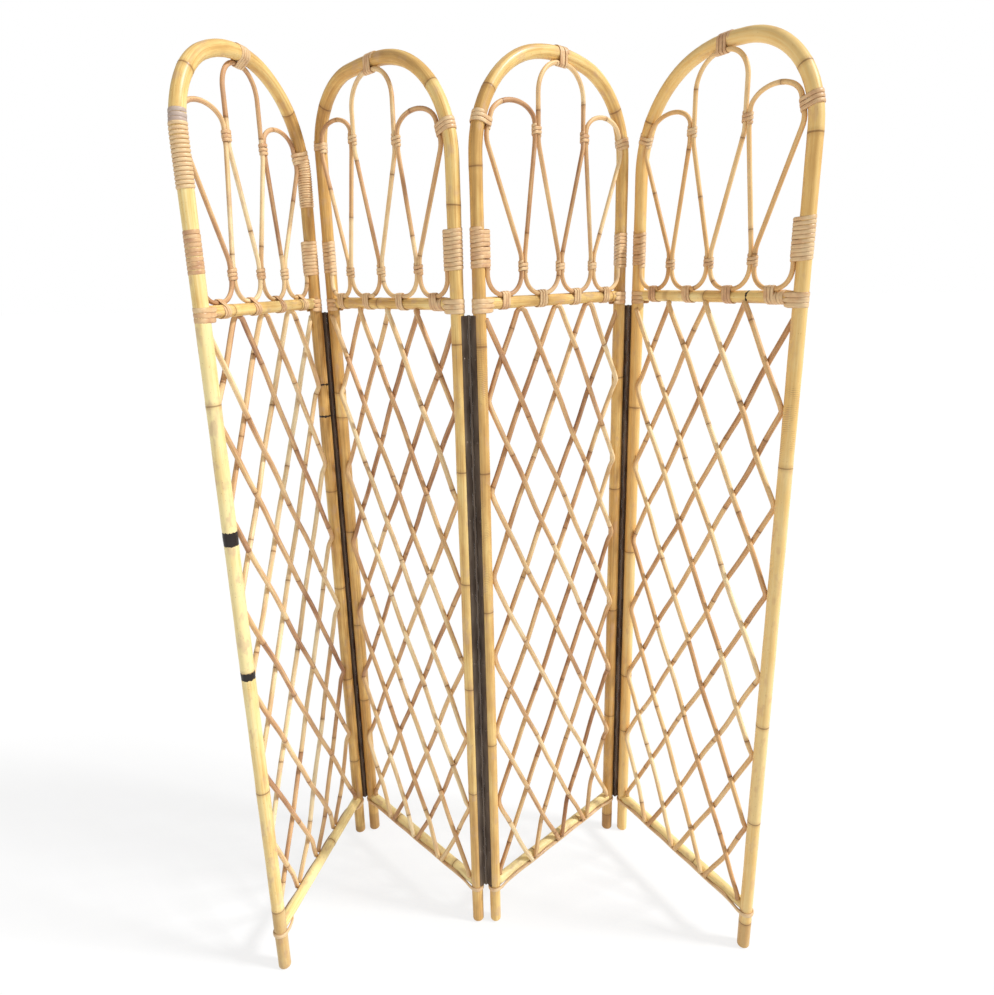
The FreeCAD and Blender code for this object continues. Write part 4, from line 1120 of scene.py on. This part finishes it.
def dress_metal():
    """Hinges as mesh pieces, and the finish of the small metal parts that stay as they are."""
    for name, (index, pole, side) in LEAVES.items():
        body = f"panel_{index + 1}"
        skin = hinge_leaf(pole, side, "right" in name)
        make_piece(f"steel_{name}", skin, body, name, "hinge_steel", panel_matrix(body))
    for name, body in PIN_BODIES.items():
        low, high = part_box(name)
        make_piece(f"steel_{name}", hinge_pin((low + high) / 2), body, name, "hinge_steel", Matrix())
    for name, node in frame["nodes"].items():
        if "nails" in name or "screws" in name:
            node.data.materials.clear()
            node.data.materials.append(looks["nail_steel" if "nails" in name else "hinge_steel"])


FLOOR_HALF = 40.0
FLOOR_Z = -0.0005
FLOOR_GLOW = 0.8


def floor():
    """Pale floor that glows for the camera and mirrors, and keeps a share of the screen's shadow."""
    mesh = bpy.data.meshes.new("floor")
    corners = ((-1, -1), (1, -1), (1, 1), (-1, 1))
    mesh.from_pydata([(x * FLOOR_HALF, y * FLOOR_HALF, FLOOR_Z) for x, y in corners], [], [(0, 1, 2, 3)])
    plane = placed("floor", mesh)
    finish = Finish("floor")
    finish.set(Base_Color=colour(253, 253, 253), Roughness=0.9, Specular_IOR_Level=0.0)
    path = finish.node("LightPath", {}).outputs
    seen = finish.compute("MAXIMUM", path["Is Camera Ray"], path["Is Glossy Ray"])
    glow = finish.node("Emission", {"Color": (1, 1, 1, 1), "Strength": 1.0})
    share = finish.product(seen, FLOOR_GLOW)
    parts = {"Fac": share, 1: finish.shader.outputs["BSDF"], 2: glow.outputs["Emission"]}
    both = finish.node("MixShader", parts)
    finish.feed(finish.tree.nodes["Material Output"].inputs["Surface"], both.outputs["Shader"])
    mesh.materials.append(finish.owner)


SKY_LIGHT = 0.42
KEY_STRENGTH = 3.0
KEY_SOFTNESS = math.radians(9)
KEY_FROM = Vector((0.70, -0.16, 0.70))


def lights():
    """A soft key light from the right and a white sky that the camera sees as plain white."""
    sky = Finish("studio", bpy.data.worlds)
    seen = sky.node("LightPath", {}).outputs["Is Camera Ray"]
    inputs = {"Value": seen, "To Min": SKY_LIGHT, "To Max": 1.0}
    background = sky.tree.nodes["Background"]
    sky.feed(background.inputs["Color"], (1, 1, 1, 1))
    sky.feed(background.inputs["Strength"], sky.node("MapRange", inputs).outputs["Result"])
    scene.world = sky.owner
    key = bpy.data.lights.new("key", "SUN")
    key.energy = KEY_STRENGTH
    key.angle = KEY_SOFTNESS
    placed("key", key).rotation_euler = KEY_FROM.to_track_quat("Z", "Y").to_euler()


# Camera at the place from which the screen looks as it does in the photograph
IMAGE_WIDTH = 994
IMAGE_HEIGHT = 995
FOCAL_PIXELS = 732.2
CENTRE_PIXEL = (488.3, 485.8)
CAMERA_PLACE = (-0.0353, -1.4335, 1.4047)
CAMERA_PITCH = math.radians(15.889)
CAMERA_ROLL = math.radians(-1.448)
CAMERA_YAW = math.radians(-0.091)
SENSOR = 36.0


def camera():
    data = bpy.data.cameras.new("camera")
    data.sensor_fit = "VERTICAL"
    data.sensor_height = SENSOR
    data.lens = FOCAL_PIXELS / IMAGE_HEIGHT * SENSOR
    data.shift_x = (IMAGE_WIDTH / 2 - CENTRE_PIXEL[0]) / IMAGE_HEIGHT
    data.shift_y = (CENTRE_PIXEL[1] - IMAGE_HEIGHT / 2) / IMAGE_HEIGHT
    view = placed("camera", data)
    view.location = CAMERA_PLACE
    level = Euler((math.pi / 2 - CAMERA_PITCH, 0, CAMERA_YAW)).to_matrix()
    rolled = level @ Euler((0, 0, CAMERA_ROLL)).to_matrix()
    view.rotation_euler = rolled.to_euler()
    scene.camera = view


POLE_TINTS = [
    (0.29, (182, 136, 74)),
    (0.46, (218, 174, 102)),
    (0.60, (242, 207, 132)),
    (0.80, (254, 234, 170)),
]
ROD_TINTS = [
    (0.29, (158, 110, 80)),
    (0.46, (210, 164, 118)),
    (0.60, (236, 200, 146)),
    (0.80, (254, 234, 190)),
]
CANE_TINTS = [
    (0.25, (196, 148, 112)),
    (0.5, (224, 182, 134)),
    (0.75, (238, 206, 158)),
]

looks = {
    "rattan_pole": rattan("rattan_pole", POLE_TINTS, (172, 124, 68), 0.34, 0.3),
    "rattan_rod": rattan("rattan_rod", ROD_TINTS, (158, 110, 70), 0.42, 0.38),
    "split_cane": split_cane(),
    "hinge_steel": aged_steel("hinge_steel", (86, 72, 62), (138, 122, 106)),
    "nail_steel": aged_steel("nail_steel", (84, 76, 70), (170, 164, 156)),
}
for index in range(4):
    dress_panel(index)
dress_metal()
floor()
lights()
camera()
scene.view_settings.view_transform = "Standard"
